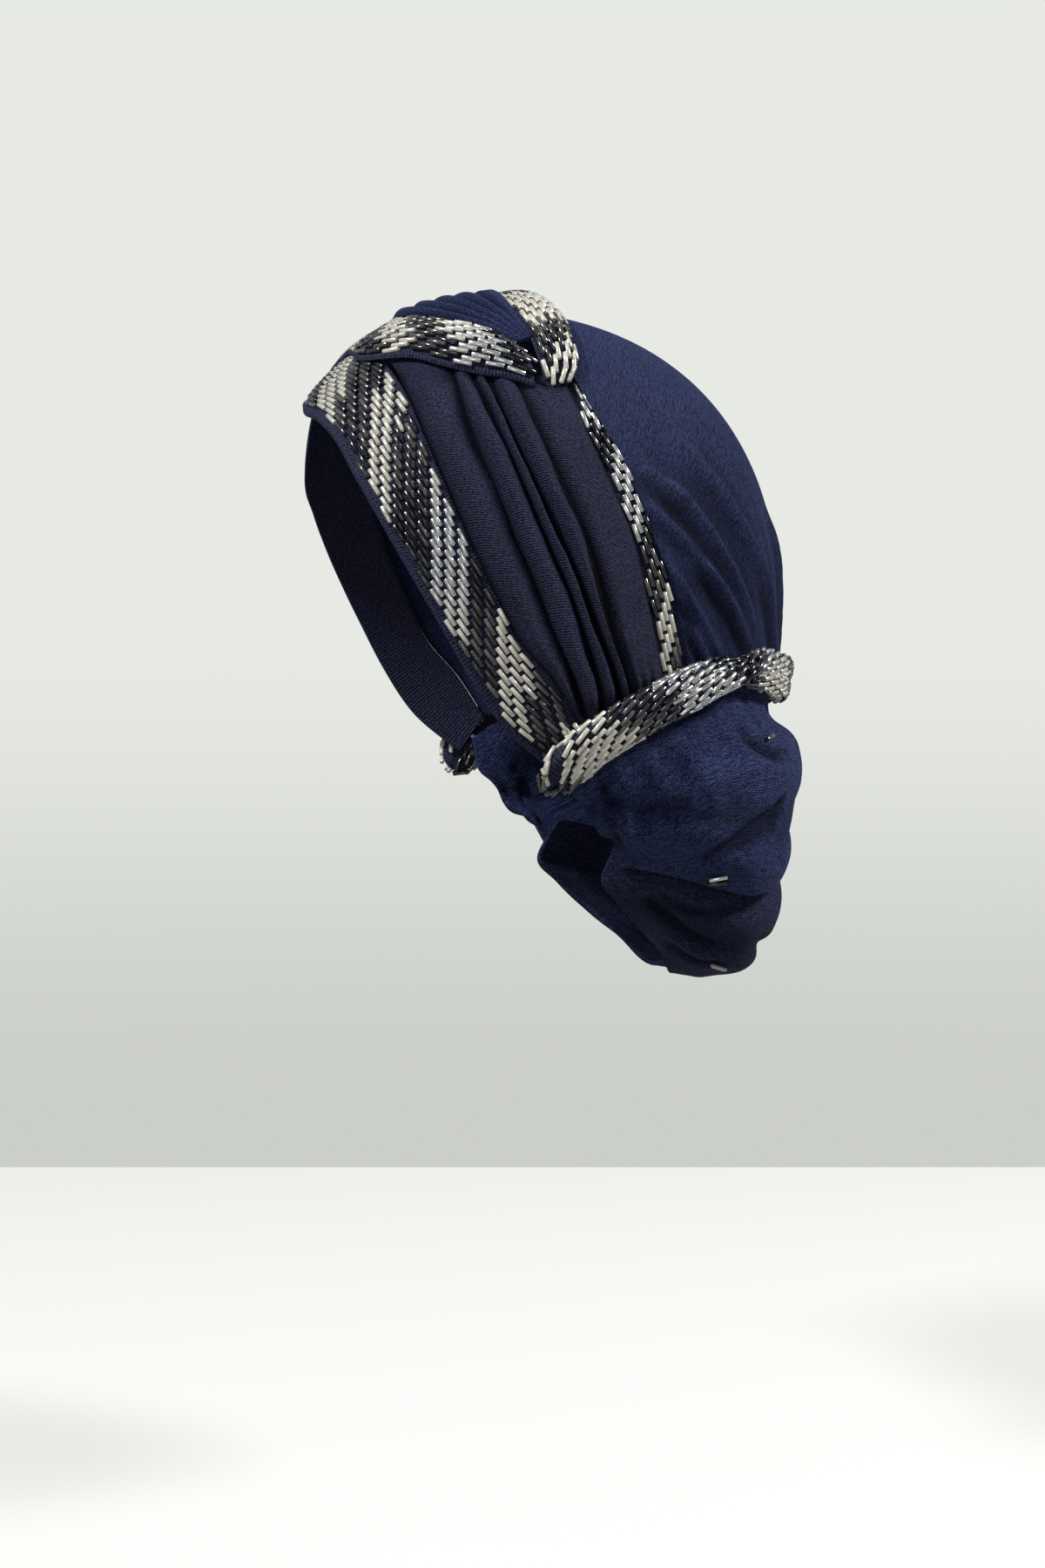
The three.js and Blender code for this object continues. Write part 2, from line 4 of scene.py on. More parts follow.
import bmesh
import bpy
import mathutils
import numpy as np
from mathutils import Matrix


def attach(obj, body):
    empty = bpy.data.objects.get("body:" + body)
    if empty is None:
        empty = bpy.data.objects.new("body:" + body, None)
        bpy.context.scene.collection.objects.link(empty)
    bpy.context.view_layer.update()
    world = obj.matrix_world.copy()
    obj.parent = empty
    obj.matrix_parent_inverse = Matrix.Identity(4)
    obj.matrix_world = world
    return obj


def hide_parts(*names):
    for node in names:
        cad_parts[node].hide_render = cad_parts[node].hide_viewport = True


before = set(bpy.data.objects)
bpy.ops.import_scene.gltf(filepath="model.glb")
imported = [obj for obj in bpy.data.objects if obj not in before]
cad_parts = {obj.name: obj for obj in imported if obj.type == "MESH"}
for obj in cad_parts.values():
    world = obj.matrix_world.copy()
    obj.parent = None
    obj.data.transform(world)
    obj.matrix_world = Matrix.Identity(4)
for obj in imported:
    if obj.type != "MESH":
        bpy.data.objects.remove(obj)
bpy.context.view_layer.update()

mm = 0.001
print("frame loaded")

# the head form that the cloth closes round, and the smooth tables
headForm = {"middle": (0, 0, -128), "side": 80, "front": 97, "back": 121, "up": 128, "down": 100,
            "planPower": 2.1, "heightPower": 2.5}
headMiddle = np.array(headForm["middle"], float)


def onHead(points, lift):
    out = np.asarray(points, float) - headMiddle
    out = out / np.linalg.norm(out, axis=-1, keepdims=True)
    depth = np.where(out[..., 1] < 0, headForm["front"], headForm["back"])
    height = np.where(out[..., 2] < 0, headForm["down"], headForm["up"])
    plan = np.abs(out[..., 0] / headForm["side"]) ** headForm["planPower"]
    plan = plan + np.abs(out[..., 1] / depth) ** headForm["planPower"]
    whole = plan ** (headForm["heightPower"] / headForm["planPower"])
    whole = whole + np.abs(out[..., 2] / height) ** headForm["heightPower"]
    radius = whole ** (-1 / headForm["heightPower"])
    return headMiddle + out * (radius + lift)[..., None]


def inwards(points, distance):
    out = points - headMiddle
    out = out / np.linalg.norm(out, axis=-1, keepdims=True)
    return points - out * np.asarray(distance)[..., None]


def column(rows, share):
    rows = np.asarray(rows, float)
    last = len(rows) - 1
    place = np.clip(share, 0, 1) * last
    index = np.minimum(np.floor(place).astype(int), last - 1)
    t = place - index
    if rows.ndim > 1:
        t = t[..., None]
    before, start, end, after = (rows[np.clip(index + k, 0, last)] for k in (-1, 0, 1, 2))
    slopeStart, slopeEnd, rise = (end - before) / 2, (after - start) / 2, end - start
    bend = slopeStart + slopeEnd - 2 * rise
    return start + t * (slopeStart + t * (3 * rise - 2 * slopeStart - slopeEnd + t * bend))


def alongLine(points, share):
    steps = np.linalg.norm(np.diff(points, axis=0), axis=1)
    length = np.concatenate([[0], np.cumsum(steps)])
    want = np.clip(share, 0, 1) * length[-1]
    return np.stack([np.interp(want, length, points[:, k]) for k in range(3)], -1)


def edgeLine(rows):
    return column(rows, np.linspace(0, 1, 400))


def ease(low, high, value):
    t = np.clip((value - low) / (high - low), 0, 1)
    return t * t * (3 - 2 * t)


def flipped(rows):
    return [(-x, y, z) for x, y, z in rows]


def wander(*phases):
    # slow smooth unevenness between -1 and 1
    total = 0
    for k, phase in enumerate(phases):
        total = total + np.sin(phase + 1.7 * k + 0.6 * np.sin(1.9 * phase + k))
    return total / len(phases)


# how a fold grows and fades along its line, and how it falls away to the sides
foldForm = {"samples": 48, "blur": 1.5, "grown": 0.35, "fades": 0.75, "dip": 0.5, "spread": 0.6}


def foldHeights(grid, table, mirrored=False):
    # soft ridges and valleys along short lines, each line given as shares across and down the grid
    rows, cols = grid.shape[:2]
    total = np.zeros((rows, cols))
    samples = np.linspace(0, 1, foldForm["samples"])
    for fold in table:
        shares = column(fold["line"], samples)
        for flip in ((False, True) if mirrored else (False,)):
            across = (1 - shares[:, 0] if flip else shares[:, 0]) * (cols - 1)
            down = shares[:, 1] * (rows - 1)
            i = np.clip(across.astype(int), 0, cols - 2)
            j = np.clip(down.astype(int), 0, rows - 2)
            a, b = (across - i)[:, None], (down - j)[:, None]
            upper = grid[j, i] * (1 - a) + grid[j, i + 1] * a
            lower = grid[j + 1, i] * (1 - a) + grid[j + 1, i + 1] * a
            spots = upper * (1 - b) + lower * b
            away = np.linalg.norm(grid[:, :, None] - spots, axis=-1)
            near = away.min(-1)
            weight = np.exp(-(away - near[..., None]) / foldForm["blur"])
            t = (weight * samples).sum(-1) / weight.sum(-1)
            x = (near / fold["wide"]) ** 2
            tall = fold["tall"] * ease(0, foldForm["grown"], t)
            tall = tall * (1 - ease(foldForm["fades"], 1.0, t) * fold.get("fades", 1))
            total += tall * (1 - foldForm["dip"] * x) * np.exp(-foldForm["spread"] * x)
    return total


# meshes from grids of points
def gridMesh(name, outer, inner=None, uv=None, extras=None):
    rows, cols = outer.shape[:2]
    layers = [outer] if inner is None else [outer, inner]
    verts = np.concatenate([layer.reshape(-1, 3) for layer in layers]) * mm
    ids = np.arange(rows * cols).reshape(rows, cols)
    a, b, c, d = ids[:-1, :-1], ids[1:, :-1], ids[1:, 1:], ids[:-1, 1:]
    quads = [np.stack([a, b, c, d], -1).reshape(-1, 4)]
    if inner is not None:
        far = ids + rows * cols
        a2, b2, c2, d2 = far[:-1, :-1], far[1:, :-1], far[1:, 1:], far[:-1, 1:]
        quads.append(np.stack([a2, d2, c2, b2], -1).reshape(-1, 4))
        quads.append(np.stack([ids[:-1, 0], far[:-1, 0], far[1:, 0], ids[1:, 0]], -1))
        quads.append(np.stack([ids[:-1, -1], ids[1:, -1], far[1:, -1], far[:-1, -1]], -1))
        quads.append(np.stack([ids[0, :-1], ids[0, 1:], far[0, 1:], far[0, :-1]], -1))
        quads.append(np.stack([ids[-1, :-1], far[-1, :-1], far[-1, 1:], ids[-1, 1:]], -1))
    quads = np.concatenate(quads)
    p = verts[quads]
    if inner is None:
        # an open sheet faces away from the head's middle
        facing = np.cross(p[:, 1] - p[:, 0], p[:, 2] - p[:, 0])
        volume = np.einsum("ij,ij->", facing, p[:, 0] - headMiddle * mm)
    else:
        volume = np.einsum("ij,ij->", p[:, 0], np.cross(p[:, 1], p[:, 2]))
        volume = volume + np.einsum("ij,ij->", p[:, 0], np.cross(p[:, 2], p[:, 3]))
    if volume < 0:
        quads = quads[:, ::-1]
    mesh = bpy.data.meshes.new(name)
    mesh.vertices.add(len(verts))
    mesh.vertices.foreach_set("co", verts.ravel())
    mesh.loops.add(quads.size)
    mesh.loops.foreach_set("vertex_index", quads.ravel().astype(np.int32))
    mesh.polygons.add(len(quads))
    mesh.polygons.foreach_set("loop_start", np.arange(0, quads.size, 4, dtype=np.int32))
    mesh.update(calc_edges=True)
    mesh.polygons.foreach_set("use_smooth", np.ones(len(quads), bool))
    if uv is not None:
        flat = uv.reshape(-1, 2) * mm
        flat = np.concatenate([flat] * len(layers))
        layer = mesh.uv_layers.new(name="cloth")
        layer.data.foreach_set("uv", flat[quads.ravel()].ravel().astype(np.float32))
    for key, values in (extras or {}).items():
        kind = "FLOAT_VECTOR" if values.ndim == 3 else "FLOAT"
        field = "vector" if values.ndim == 3 else "value"
        stored = mesh.attributes.new(key, kind, "POINT")
        both = np.concatenate([values.reshape(rows * cols, -1)] * len(layers))
        stored.data.foreach_set(field, both.ravel().astype(np.float32))
    mesh.validate()
    return mesh


def addPiece(name, mesh):
    piece = bpy.data.objects.new(name, mesh)
    bpy.context.scene.collection.objects.link(piece)
    return piece


def smoothed(mesh, sharpAngle=None):
    # faces turned outwards and shaded smooth, with edges past the angle left sharp
    shell = bmesh.new()
    shell.from_mesh(mesh)
    bmesh.ops.recalc_face_normals(shell, faces=shell.faces)
    for face in shell.faces:
        face.smooth = True
    if sharpAngle is not None:
        for edge in shell.edges:
            edge.smooth = edge.calc_face_angle(0) < math.radians(sharpAngle)
    shell.to_mesh(mesh)
    shell.free()


def asKnit(piece, node, cloth):
    # a cloth piece, worn in place of its node
    piece.data.materials.append(cloth)
    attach(piece, "root")
    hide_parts(node)


def spans(grid, axis):
    # distance walked along one axis of a grid of points
    steps = np.linalg.norm(np.diff(grid, axis=axis), axis=-1)
    zero = np.zeros_like(np.take(steps, [0], axis=axis))
    return np.cumsum(np.concatenate([zero, steps], axis=axis), axis=axis)


# shader groups and materials
def newGroup(name, inputs, outputs):
    tree = bpy.data.node_groups.new(name, "ShaderNodeTree")
    for label, kind, value in inputs:
        socket = tree.interface.new_socket(name=label, in_out="INPUT", socket_type=kind)
        socket.default_value = value
    for label, kind in outputs:
        tree.interface.new_socket(name=label, in_out="OUTPUT", socket_type=kind)
    return tree, tree.nodes.new("NodeGroupInput"), tree.nodes.new("NodeGroupOutput")


def mathNode(tree, operation, *values):
    node = tree.nodes.new("ShaderNodeMath")
    node.operation = operation
    for socket, value in zip(node.inputs, values):
        if hasattr(value, "links"):
            tree.links.new(value, socket)
        else:
            socket.default_value = value
    return node.outputs[0]


def noiseNode(tree, vector, scale, detail=2.0, roughness=0.5, distortion=0.0):
    node = tree.nodes.new("ShaderNodeTexNoise")
    node.inputs["Scale"].default_value = scale
    node.inputs["Detail"].default_value = detail
    node.inputs["Roughness"].default_value = roughness
    node.inputs["Distortion"].default_value = distortion
    tree.links.new(vector, node.inputs["Vector"])
    return node.outputs["Fac"]


def mixNode(tree, factor, first, second, blend="MIX"):
    # mixes two colours, and each of them is a colour or another node's output
    node = tree.nodes.new("ShaderNodeMix")
    node.data_type = "RGBA"
    node.blend_type = blend
    tree.links.new(factor, node.inputs["Factor"])
    for label, value in (("A", first), ("B", second)):
        if hasattr(value, "links"):
            tree.links.new(value, node.inputs[label])
        else:
            node.inputs[label].default_value = (*value, 1)
    return node.outputs["Result"]


def pointValue(tree, key):
    node = tree.nodes.new("ShaderNodeAttribute")
    node.attribute_name = key
    return node.outputs["Fac"]


# fine ribs of a crinkled knit, as a height and a mask of lit ridges: noise scales for each metre, how far the
# noise pulls ribs and stitches, and the share of each in the height and (with an offset) in the ridges
knitForm = {"driftScale": 260.0, "ribDrift": 3.0, "stitchDrift": 4.0, "fuzzScale": 1000.0,
            "cloudScale": 55.0, "crinkleScale": 260.0, "crinkleStretch": (1.0, 2.6, 1.0), "ribHeight": 0.5,
            "stitchHeight": 0.25, "fuzzHeight": 1.2, "crinkleHeight": 5.0, "ribRidge": 0.22,
            "stitchRidge": 0.1, "fuzzRidge": (3.0, -1.05), "crinkleRidge": (4.0, -2.0)}
knitRibs, knitIn, knitOut = newGroup(
    "knitRibs",
    [("Cloth", "NodeSocketVector", (0, 0, 0)), ("Rib Width", "NodeSocketFloat", 0.0011),
     ("Stitch Width", "NodeSocketFloat", 0.0009), ("Unevenness", "NodeSocketFloat", 0.5)],
    [("Height", "NodeSocketFloat"), ("Ridge", "NodeSocketFloat"), ("Cloud", "NodeSocketFloat")])


def ribMath(operation, *values):
    return mathNode(knitRibs, operation, *values)


clothIn, uneven = knitIn.outputs["Cloth"], knitIn.outputs["Unevenness"]
split = knitRibs.nodes.new("ShaderNodeSeparateXYZ")
knitRibs.links.new(clothIn, split.inputs[0])
drift = noiseNode(knitRibs, clothIn, knitForm["driftScale"], 3.0, 0.6)
drift = ribMath("MULTIPLY", drift, uneven)
acrossTurns = ribMath("DIVIDE", split.outputs["Y"], knitIn.outputs["Rib Width"])
acrossTurns = ribMath("ADD", acrossTurns, ribMath("MULTIPLY", drift, knitForm["ribDrift"]))
ribWave = ribMath("SINE", ribMath("MULTIPLY", acrossTurns, 2 * math.pi))
alongTurns = ribMath("DIVIDE", split.outputs["X"], knitIn.outputs["Stitch Width"])
alongTurns = ribMath("ADD", alongTurns, ribMath("MULTIPLY", drift, knitForm["stitchDrift"]))
stitchWave = ribMath("SINE", ribMath("MULTIPLY", alongTurns, 2 * math.pi))
fuzz = noiseNode(knitRibs, clothIn, knitForm["fuzzScale"], 3.0, 0.7)
cloud = noiseNode(knitRibs, clothIn, knitForm["cloudScale"], 3.0, 0.55)
stretch = knitRibs.nodes.new("ShaderNodeVectorMath")
stretch.operation = "MULTIPLY"
stretch.inputs[1].default_value = knitForm["crinkleStretch"]
knitRibs.links.new(clothIn, stretch.inputs[0])
crinkle = noiseNode(knitRibs, stretch.outputs[0], knitForm["crinkleScale"], 3.0, 0.65, 0.4)

height = ribMath("MULTIPLY", ribWave, knitForm["ribHeight"])
height = ribMath("ADD", height, ribMath("MULTIPLY", stitchWave, knitForm["stitchHeight"]))
height = ribMath("ADD", height, ribMath("MULTIPLY", fuzz, knitForm["fuzzHeight"]))
creased = ribMath("MULTIPLY", ribMath("MULTIPLY", crinkle, knitForm["crinkleHeight"]), uneven)
ridge = ribMath("MULTIPLY", stitchWave, knitForm["stitchRidge"])
ridge = ribMath("MULTIPLY_ADD", ribWave, knitForm["ribRidge"], ridge)
ridge = ribMath("ADD", ridge, ribMath("MULTIPLY_ADD", fuzz, *knitForm["fuzzRidge"]))
crinkled = ribMath("MULTIPLY", ribMath("MULTIPLY_ADD", crinkle, *knitForm["crinkleRidge"]), uneven)
knitRibs.links.new(ribMath("ADD", height, creased), knitOut.inputs["Height"])
knitRibs.links.new(ribMath("ADD", ridge, crinkled), knitOut.inputs["Ridge"])
knitRibs.links.new(cloud, knitOut.inputs["Cloud"])


def newMaterial(name):
    material = bpy.data.materials.new(name)
    material.use_nodes = True
    tree = material.node_tree
    return material, tree, tree.nodes["Principled BSDF"]


def navyKnit(name, look):
    material, tree, shader = newMaterial(name)
    uv = tree.nodes.new("ShaderNodeUVMap")
    uv.uv_map = "cloth"
    ribs = tree.nodes.new("ShaderNodeGroup")
    ribs.node_tree = knitRibs
    ribs.inputs["Rib Width"].default_value = look["ribWidth"]
    ribs.inputs["Stitch Width"].default_value = look["stitchWidth"]
    ribs.inputs["Unevenness"].default_value = look["unevenness"]
    tree.links.new(uv.outputs["UV"], ribs.inputs["Cloth"])
    # painted highlight and shade of the fine knit: rib crests take the lit colour and rib hollows the deep
    # one
    colour = mixNode(tree, ribs.outputs["Ridge"], look["deep"], look["lit"])
    colour = mixNode(tree, ribs.outputs["Cloud"], colour, look["cloud"], "MULTIPLY")
    # painted shade: cloth down in a fold, in a gutter and beside a band is darkened towards the shade tint by
    # the stored shade mask
    colour = mixNode(tree, pointValue(tree, "paintedShade"), colour, look["shadeTint"], "MULTIPLY")
    tree.links.new(colour, shader.inputs["Base Color"])
    bump = tree.nodes.new("ShaderNodeBump")
    bump.inputs["Strength"].default_value = look["relief"]
    bump.inputs["Distance"].default_value = look["reliefDepth"]
    tree.links.new(ribs.outputs["Height"], bump.inputs["Height"])
    tree.links.new(bump.outputs["Normal"], shader.inputs["Normal"])
    shader.inputs["Roughness"].default_value = look["roughness"]
    shader.inputs["Sheen Weight"].default_value = look["sheen"]
    shader.inputs["Sheen Roughness"].default_value = look["sheenRoughness"]
    shader.inputs["Sheen Tint"].default_value = (*look["sheenTint"], 1)
    shader.inputs["Specular IOR Level"].default_value = look["specular"]
    return material


# the sunk colour is the painted shade tint that is multiplied into folds
panelLook = {"ribWidth": 0.00105, "stitchWidth": 0.0008, "unevenness": 0.12, "deep": (0.006, 0.006, 0.013),
             "lit": (0.052, 0.055, 0.106), "cloud": (0.62, 0.64, 0.72), "relief": 0.9, "roughness": 0.6,
             "specular": 0.05, "sheen": 0.02, "shadeTint": (0.10, 0.10, 0.12), "reliefDepth": 0.00035,
             "sheenRoughness": 0.45, "sheenTint": (0.35, 0.45, 1.0)}
crownLook = dict(panelLook, unevenness=0.4, lit=(0.046, 0.058, 0.146), deep=(0.004, 0.006, 0.018),
                 sheen=0.03)
# painted light and shade: the bag's copy of the knit is made lighter than the panel's, and the tail's darker,
# for how the light falls on each
bagLitLook = dict(crownLook, unevenness=0.5, lit=(0.056, 0.074, 0.188), deep=(0.005, 0.007, 0.022))
tailShadedLook = dict(panelLook, unevenness=0.4, lit=(0.040, 0.046, 0.102), deep=(0.004, 0.0045, 0.012),
                sheen=0.02)
panelCloth = navyKnit("panelCloth", panelLook)
crownCloth = navyKnit("crownCloth", crownLook)
knotCloth = navyKnit("knotCloth", dict(panelLook, lit=(0.050, 0.066, 0.165), deep=(0.005, 0.007, 0.02)))
bagLitCloth = navyKnit("bagLitCloth", bagLitLook)
tailShadedCloth = navyKnit("tailShadedCloth", tailShadedLook)


def beadGlass(name, look):
    # tone runs from gunmetal at 0 to cream at 1, glitter from plain to silver lined
    material, tree, shader = newMaterial(name)
    glitter = pointValue(tree, "glitter")
    colour = mixNode(tree, glitter, look["cream"], look["silver"])
    colour = mixNode(tree, pointValue(tree, "tone"), look["dark"], colour)
    spot = tree.nodes.new("ShaderNodeTexCoord")
    grain = noiseNode(tree, spot.outputs["Object"], look["grainScale"], 1.0)
    colour = mixNode(tree, grain, colour, look["dust"], "MULTIPLY")
    tree.links.new(colour, shader.inputs["Base Color"])
    metal = mathNode(tree, "MULTIPLY_ADD", glitter, look["silvering"], look["metal"])
    tree.links.new(metal, shader.inputs["Metallic"])
    rough = mathNode(tree, "MULTIPLY_ADD", grain, look["grainRoughness"], look["roughness"])
    tree.links.new(rough, shader.inputs["Roughness"])
    shader.inputs["Coat Weight"].default_value = look["coat"]
    shader.inputs["Coat Roughness"].default_value = look["coatRoughness"]
    return material


beadLook = {"cream": (0.78, 0.75, 0.64), "silver": (0.9, 0.91, 0.88), "dark": (0.006, 0.007, 0.012),
            "dust": (0.55, 0.55, 0.55), "metal": 0.15, "silvering": 0.7, "roughness": 0.12,
            "grainScale": 900.0, "grainRoughness": 0.2, "coat": 0.6, "coatRoughness": 0.05}
beadFinish = beadGlass("beadGlass", beadLook)
print("materials ready")

# one bugle bead: a short glass tube with bevelled, hollow ends
bugleBead = {"length": 7.3, "radius": 1.0, "bevel": 0.16, "boreRadius": 0.5, "boreDepth": 0.6, "sides": 7,
             "sharpAngle": 60}


def makeBead(name, size):
    half, radius, sides = size["length"] / 2, size["radius"], size["sides"]
    rings = [(-half + size["boreDepth"], size["boreRadius"]), (-half, radius - size["bevel"]),
             (-half + size["bevel"], radius)]
    rings += [(-z, r) for z, r in reversed(rings)]
    angles = [2 * math.pi * k / sides for k in range(sides)]
    verts = [(r * math.cos(angle), r * math.sin(angle), z) for z, r in rings for angle in angles]
    faces = [tuple(range(sides))]
    for j in range(len(rings) - 1):
        for k in range(sides):
            n = (k + 1) % sides
            faces.append((j * sides + k, j * sides + n, (j + 1) * sides + n, (j + 1) * sides + k))
    top = (len(rings) - 1) * sides
    faces.append(tuple(range(top, top + sides)))
    mesh = bpy.data.meshes.new(name)
    mesh.from_pydata([tuple(c * mm for c in v) for v in verts], [], faces)
    mesh.validate()
    smoothed(mesh, size["sharpAngle"])
    return addPiece(name, mesh)


beadShape = makeBead("beadShape", bugleBead)


# how far beads stray from the lattice, in metres, and how chance changes their tone and glitter
beadChance = {"along": 0.006, "across": 0.002, "stripeEdge": 0.12, "darkTone": 0.06, "paleStep": 0.84,
              "toneSpread": 0.1, "glitterSpread": 0.15}


# rows of beads over a cloth surface, as a Geometry Nodes tree
def buildBeadRows():
    tree = bpy.data.node_groups.new("beadRows", "GeometryNodeTree")
    face = tree.interface
    face.new_socket(name="Cloth", in_out="INPUT", socket_type="NodeSocketGeometry")
    for label, kind, value in [("Pitch", "NodeSocketFloat", 0.0094),
                               ("Row Pitch", "NodeSocketFloat", 0.0024),
                               ("Row Shift", "NodeSocketFloat", 0.0032), ("Tilt", "NodeSocketFloat", 0.13),
                               ("Columns", "NodeSocketInt", 40), ("Rows", "NodeSocketInt", 30),
                               ("Start Along", "NodeSocketFloat", 0.0),
                               ("Start Across", "NodeSocketFloat", 0.0),
                               ("Height", "NodeSocketFloat", 0.0009),
                               ("Unevenness", "NodeSocketFloat", 0.05), ("Seed", "NodeSocketInt", 1)]:
        socket = face.new_socket(name=label, in_out="INPUT", socket_type=kind)
        socket.default_value = value
    face.new_socket(name="Bead", in_out="INPUT", socket_type="NodeSocketObject")
    face.new_socket(name="Glass", in_out="INPUT", socket_type="NodeSocketMaterial")
    face.new_socket(name="Beads", in_out="OUTPUT", socket_type="NodeSocketGeometry")
    nodes, links = tree.nodes, tree.links
    given = nodes.new("NodeGroupInput")
    result = nodes.new("NodeGroupOutput")

    def sums(operation, *values):
        return mathNode(tree, operation, *values)

    count = sums("MULTIPLY", given.outputs["Columns"], given.outputs["Rows"])
    points = nodes.new("GeometryNodePoints")
    links.new(count, points.inputs["Count"])
    index = nodes.new("GeometryNodeInputIndex").outputs[0]
    rowOf = sums("FLOOR", sums("DIVIDE", sums("ADD", index, 0.5), given.outputs["Columns"]))
    columnOf = sums("SUBTRACT", index, sums("MULTIPLY", rowOf, given.outputs["Columns"]))
    shift = sums("FLOORED_MODULO", sums("MULTIPLY", rowOf, given.outputs["Row Shift"]),
                 given.outputs["Pitch"])
    along = sums("ADD", sums("MULTIPLY", columnOf, given.outputs["Pitch"]), shift)
    across = sums("MULTIPLY", rowOf, given.outputs["Row Pitch"])
    jitter = nodes.new("FunctionNodeRandomValue")
    jitter.data_type = "FLOAT_VECTOR"
    jitter.inputs["Min"].default_value = (-1, -1, -1)
    links.new(given.outputs["Seed"], jitter.inputs["Seed"])
    loose = nodes.new("ShaderNodeVectorMath")
    loose.operation = "SCALE"
    links.new(jitter.outputs["Value"], loose.inputs[0])
    links.new(given.outputs["Unevenness"], loose.inputs["Scale"])
    looseXyz = nodes.new("ShaderNodeSeparateXYZ")
    links.new(loose.outputs[0], looseXyz.inputs[0])
    along = sums("MULTIPLY_ADD", looseXyz.outputs["X"], beadChance["along"], along)
    across = sums("MULTIPLY_ADD", looseXyz.outputs["Y"], beadChance["across"], across)
    cosTilt, sinTilt = sums("COSINE", given.outputs["Tilt"]), sums("SINE", given.outputs["Tilt"])
    s = sums("SUBTRACT", sums("MULTIPLY", along, cosTilt), sums("MULTIPLY", across, sinTilt))
    t = sums("ADD", sums("MULTIPLY", along, sinTilt), sums("MULTIPLY", across, cosTilt))
    place = nodes.new("ShaderNodeCombineXYZ")
    links.new(sums("ADD", s, given.outputs["Start Along"]), place.inputs["X"])
    links.new(sums("ADD", t, given.outputs["Start Across"]), place.inputs["Y"])

    def named(key, kind):
        node = nodes.new("GeometryNodeInputNamedAttribute")
        node.data_type = kind
        node.inputs["Name"].default_value = key
        return node.outputs["Attribute"]

    clothPlace = named("cloth", "FLOAT_VECTOR")

    def sampled(value, kind):
        node = nodes.new("GeometryNodeSampleUVSurface")
        node.data_type = kind
        links.new(given.outputs["Cloth"], node.inputs["Mesh"])
        links.new(value, node.inputs["Value"])
        links.new(clothPlace, node.inputs["Source UV Map"])
        links.new(place.outputs[0], node.inputs["Sample UV"])
        return node.outputs["Value"], node.outputs["Is Valid"]

    spot, found = sampled(nodes.new("GeometryNodeInputPosition").outputs[0], "FLOAT_VECTOR")
    upright, _ = sampled(nodes.new("GeometryNodeInputNormal").outputs[0], "FLOAT_VECTOR")
    ahead, _ = sampled(named("ahead", "FLOAT_VECTOR"), "FLOAT_VECTOR")
    tone, _ = sampled(named("tone", "FLOAT"), "FLOAT")
    glitter, _ = sampled(named("glitter", "FLOAT"), "FLOAT")

    lifted = nodes.new("ShaderNodeVectorMath")
    lifted.operation = "SCALE"
    links.new(upright, lifted.inputs[0])
    links.new(given.outputs["Height"], lifted.inputs["Scale"])
    target = nodes.new("ShaderNodeVectorMath")
    links.new(spot, target.inputs[0])
    links.new(lifted.outputs[0], target.inputs[1])

    # the bead's own direction: along the cloth, turned by the tilt about the cloth's normal
    turned = nodes.new("ShaderNodeVectorRotate")
    links.new(ahead, turned.inputs["Vector"])
    links.new(upright, turned.inputs["Axis"])
    links.new(sums("ADD", given.outputs["Tilt"], looseXyz.outputs["Z"]), turned.inputs["Angle"])

    stream = points.outputs[0]

    def keep(stream, key, kind, value):
        node = nodes.new("GeometryNodeStoreNamedAttribute")
        node.data_type = kind
        node.inputs["Name"].default_value = key
        links.new(stream, node.inputs["Geometry"])
        links.new(value, node.inputs["Value"])
        return node.outputs[0]

    toss = nodes.new("FunctionNodeRandomValue")
    toss.data_type = "FLOAT"
    toss.inputs[2].default_value = -1
    links.new(sums("ADD", given.outputs["Seed"], 5), toss.inputs["Seed"])
    chance = toss.outputs[1]
    # near a stripe's edge the tone is between the two, so chance decides, and each bead differs a little
    decided = sums("GREATER_THAN", sums("MULTIPLY_ADD", chance, beadChance["stripeEdge"], tone), 0.5)
    own = sums("MULTIPLY_ADD", decided, beadChance["paleStep"], beadChance["darkTone"])
    own = sums("MULTIPLY_ADD", chance, beadChance["toneSpread"], own)
    shiny = sums("MULTIPLY_ADD", chance, beadChance["glitterSpread"], glitter)
    stream = keep(stream, "aim", "FLOAT_VECTOR", turned.outputs[0])
    stream = keep(stream, "upright", "FLOAT_VECTOR", upright)
    stream = keep(stream, "tone", "FLOAT", own)
    stream = keep(stream, "glitter", "FLOAT", shiny)
    stream = keep(stream, "missing", "FLOAT", sums("SUBTRACT", 1.0, found))
    stream = keep(stream, "target", "FLOAT_VECTOR", target.outputs[0])
    drop = nodes.new("GeometryNodeDeleteGeometry")
    drop.domain = "POINT"
    links.new(stream, drop.inputs["Geometry"])
    links.new(sums("GREATER_THAN", named("missing", "FLOAT"), 0.5), drop.inputs["Selection"])
    move = nodes.new("GeometryNodeSetPosition")
    links.new(drop.outputs[0], move.inputs["Geometry"])
    links.new(named("target", "FLOAT_VECTOR"), move.inputs["Position"])
    turn = nodes.new("FunctionNodeAxesToRotation")
    turn.primary_axis = "Z"
    turn.secondary_axis = "X"
    links.new(named("aim", "FLOAT_VECTOR"), turn.inputs["Primary Axis"])
    links.new(named("upright", "FLOAT_VECTOR"), turn.inputs["Secondary Axis"])
    shape = nodes.new("GeometryNodeObjectInfo")
    shape.transform_space = "ORIGINAL"
    links.new(given.outputs["Bead"], shape.inputs["Object"])
    copies = nodes.new("GeometryNodeInstanceOnPoints")
    links.new(move.outputs[0], copies.inputs["Points"])
    links.new(shape.outputs["Geometry"], copies.inputs["Instance"])
    links.new(turn.outputs[0], copies.inputs["Rotation"])
    real = nodes.new("GeometryNodeRealizeInstances")
    links.new(copies.outputs[0], real.inputs[0])
    paint = nodes.new("GeometryNodeSetMaterial")
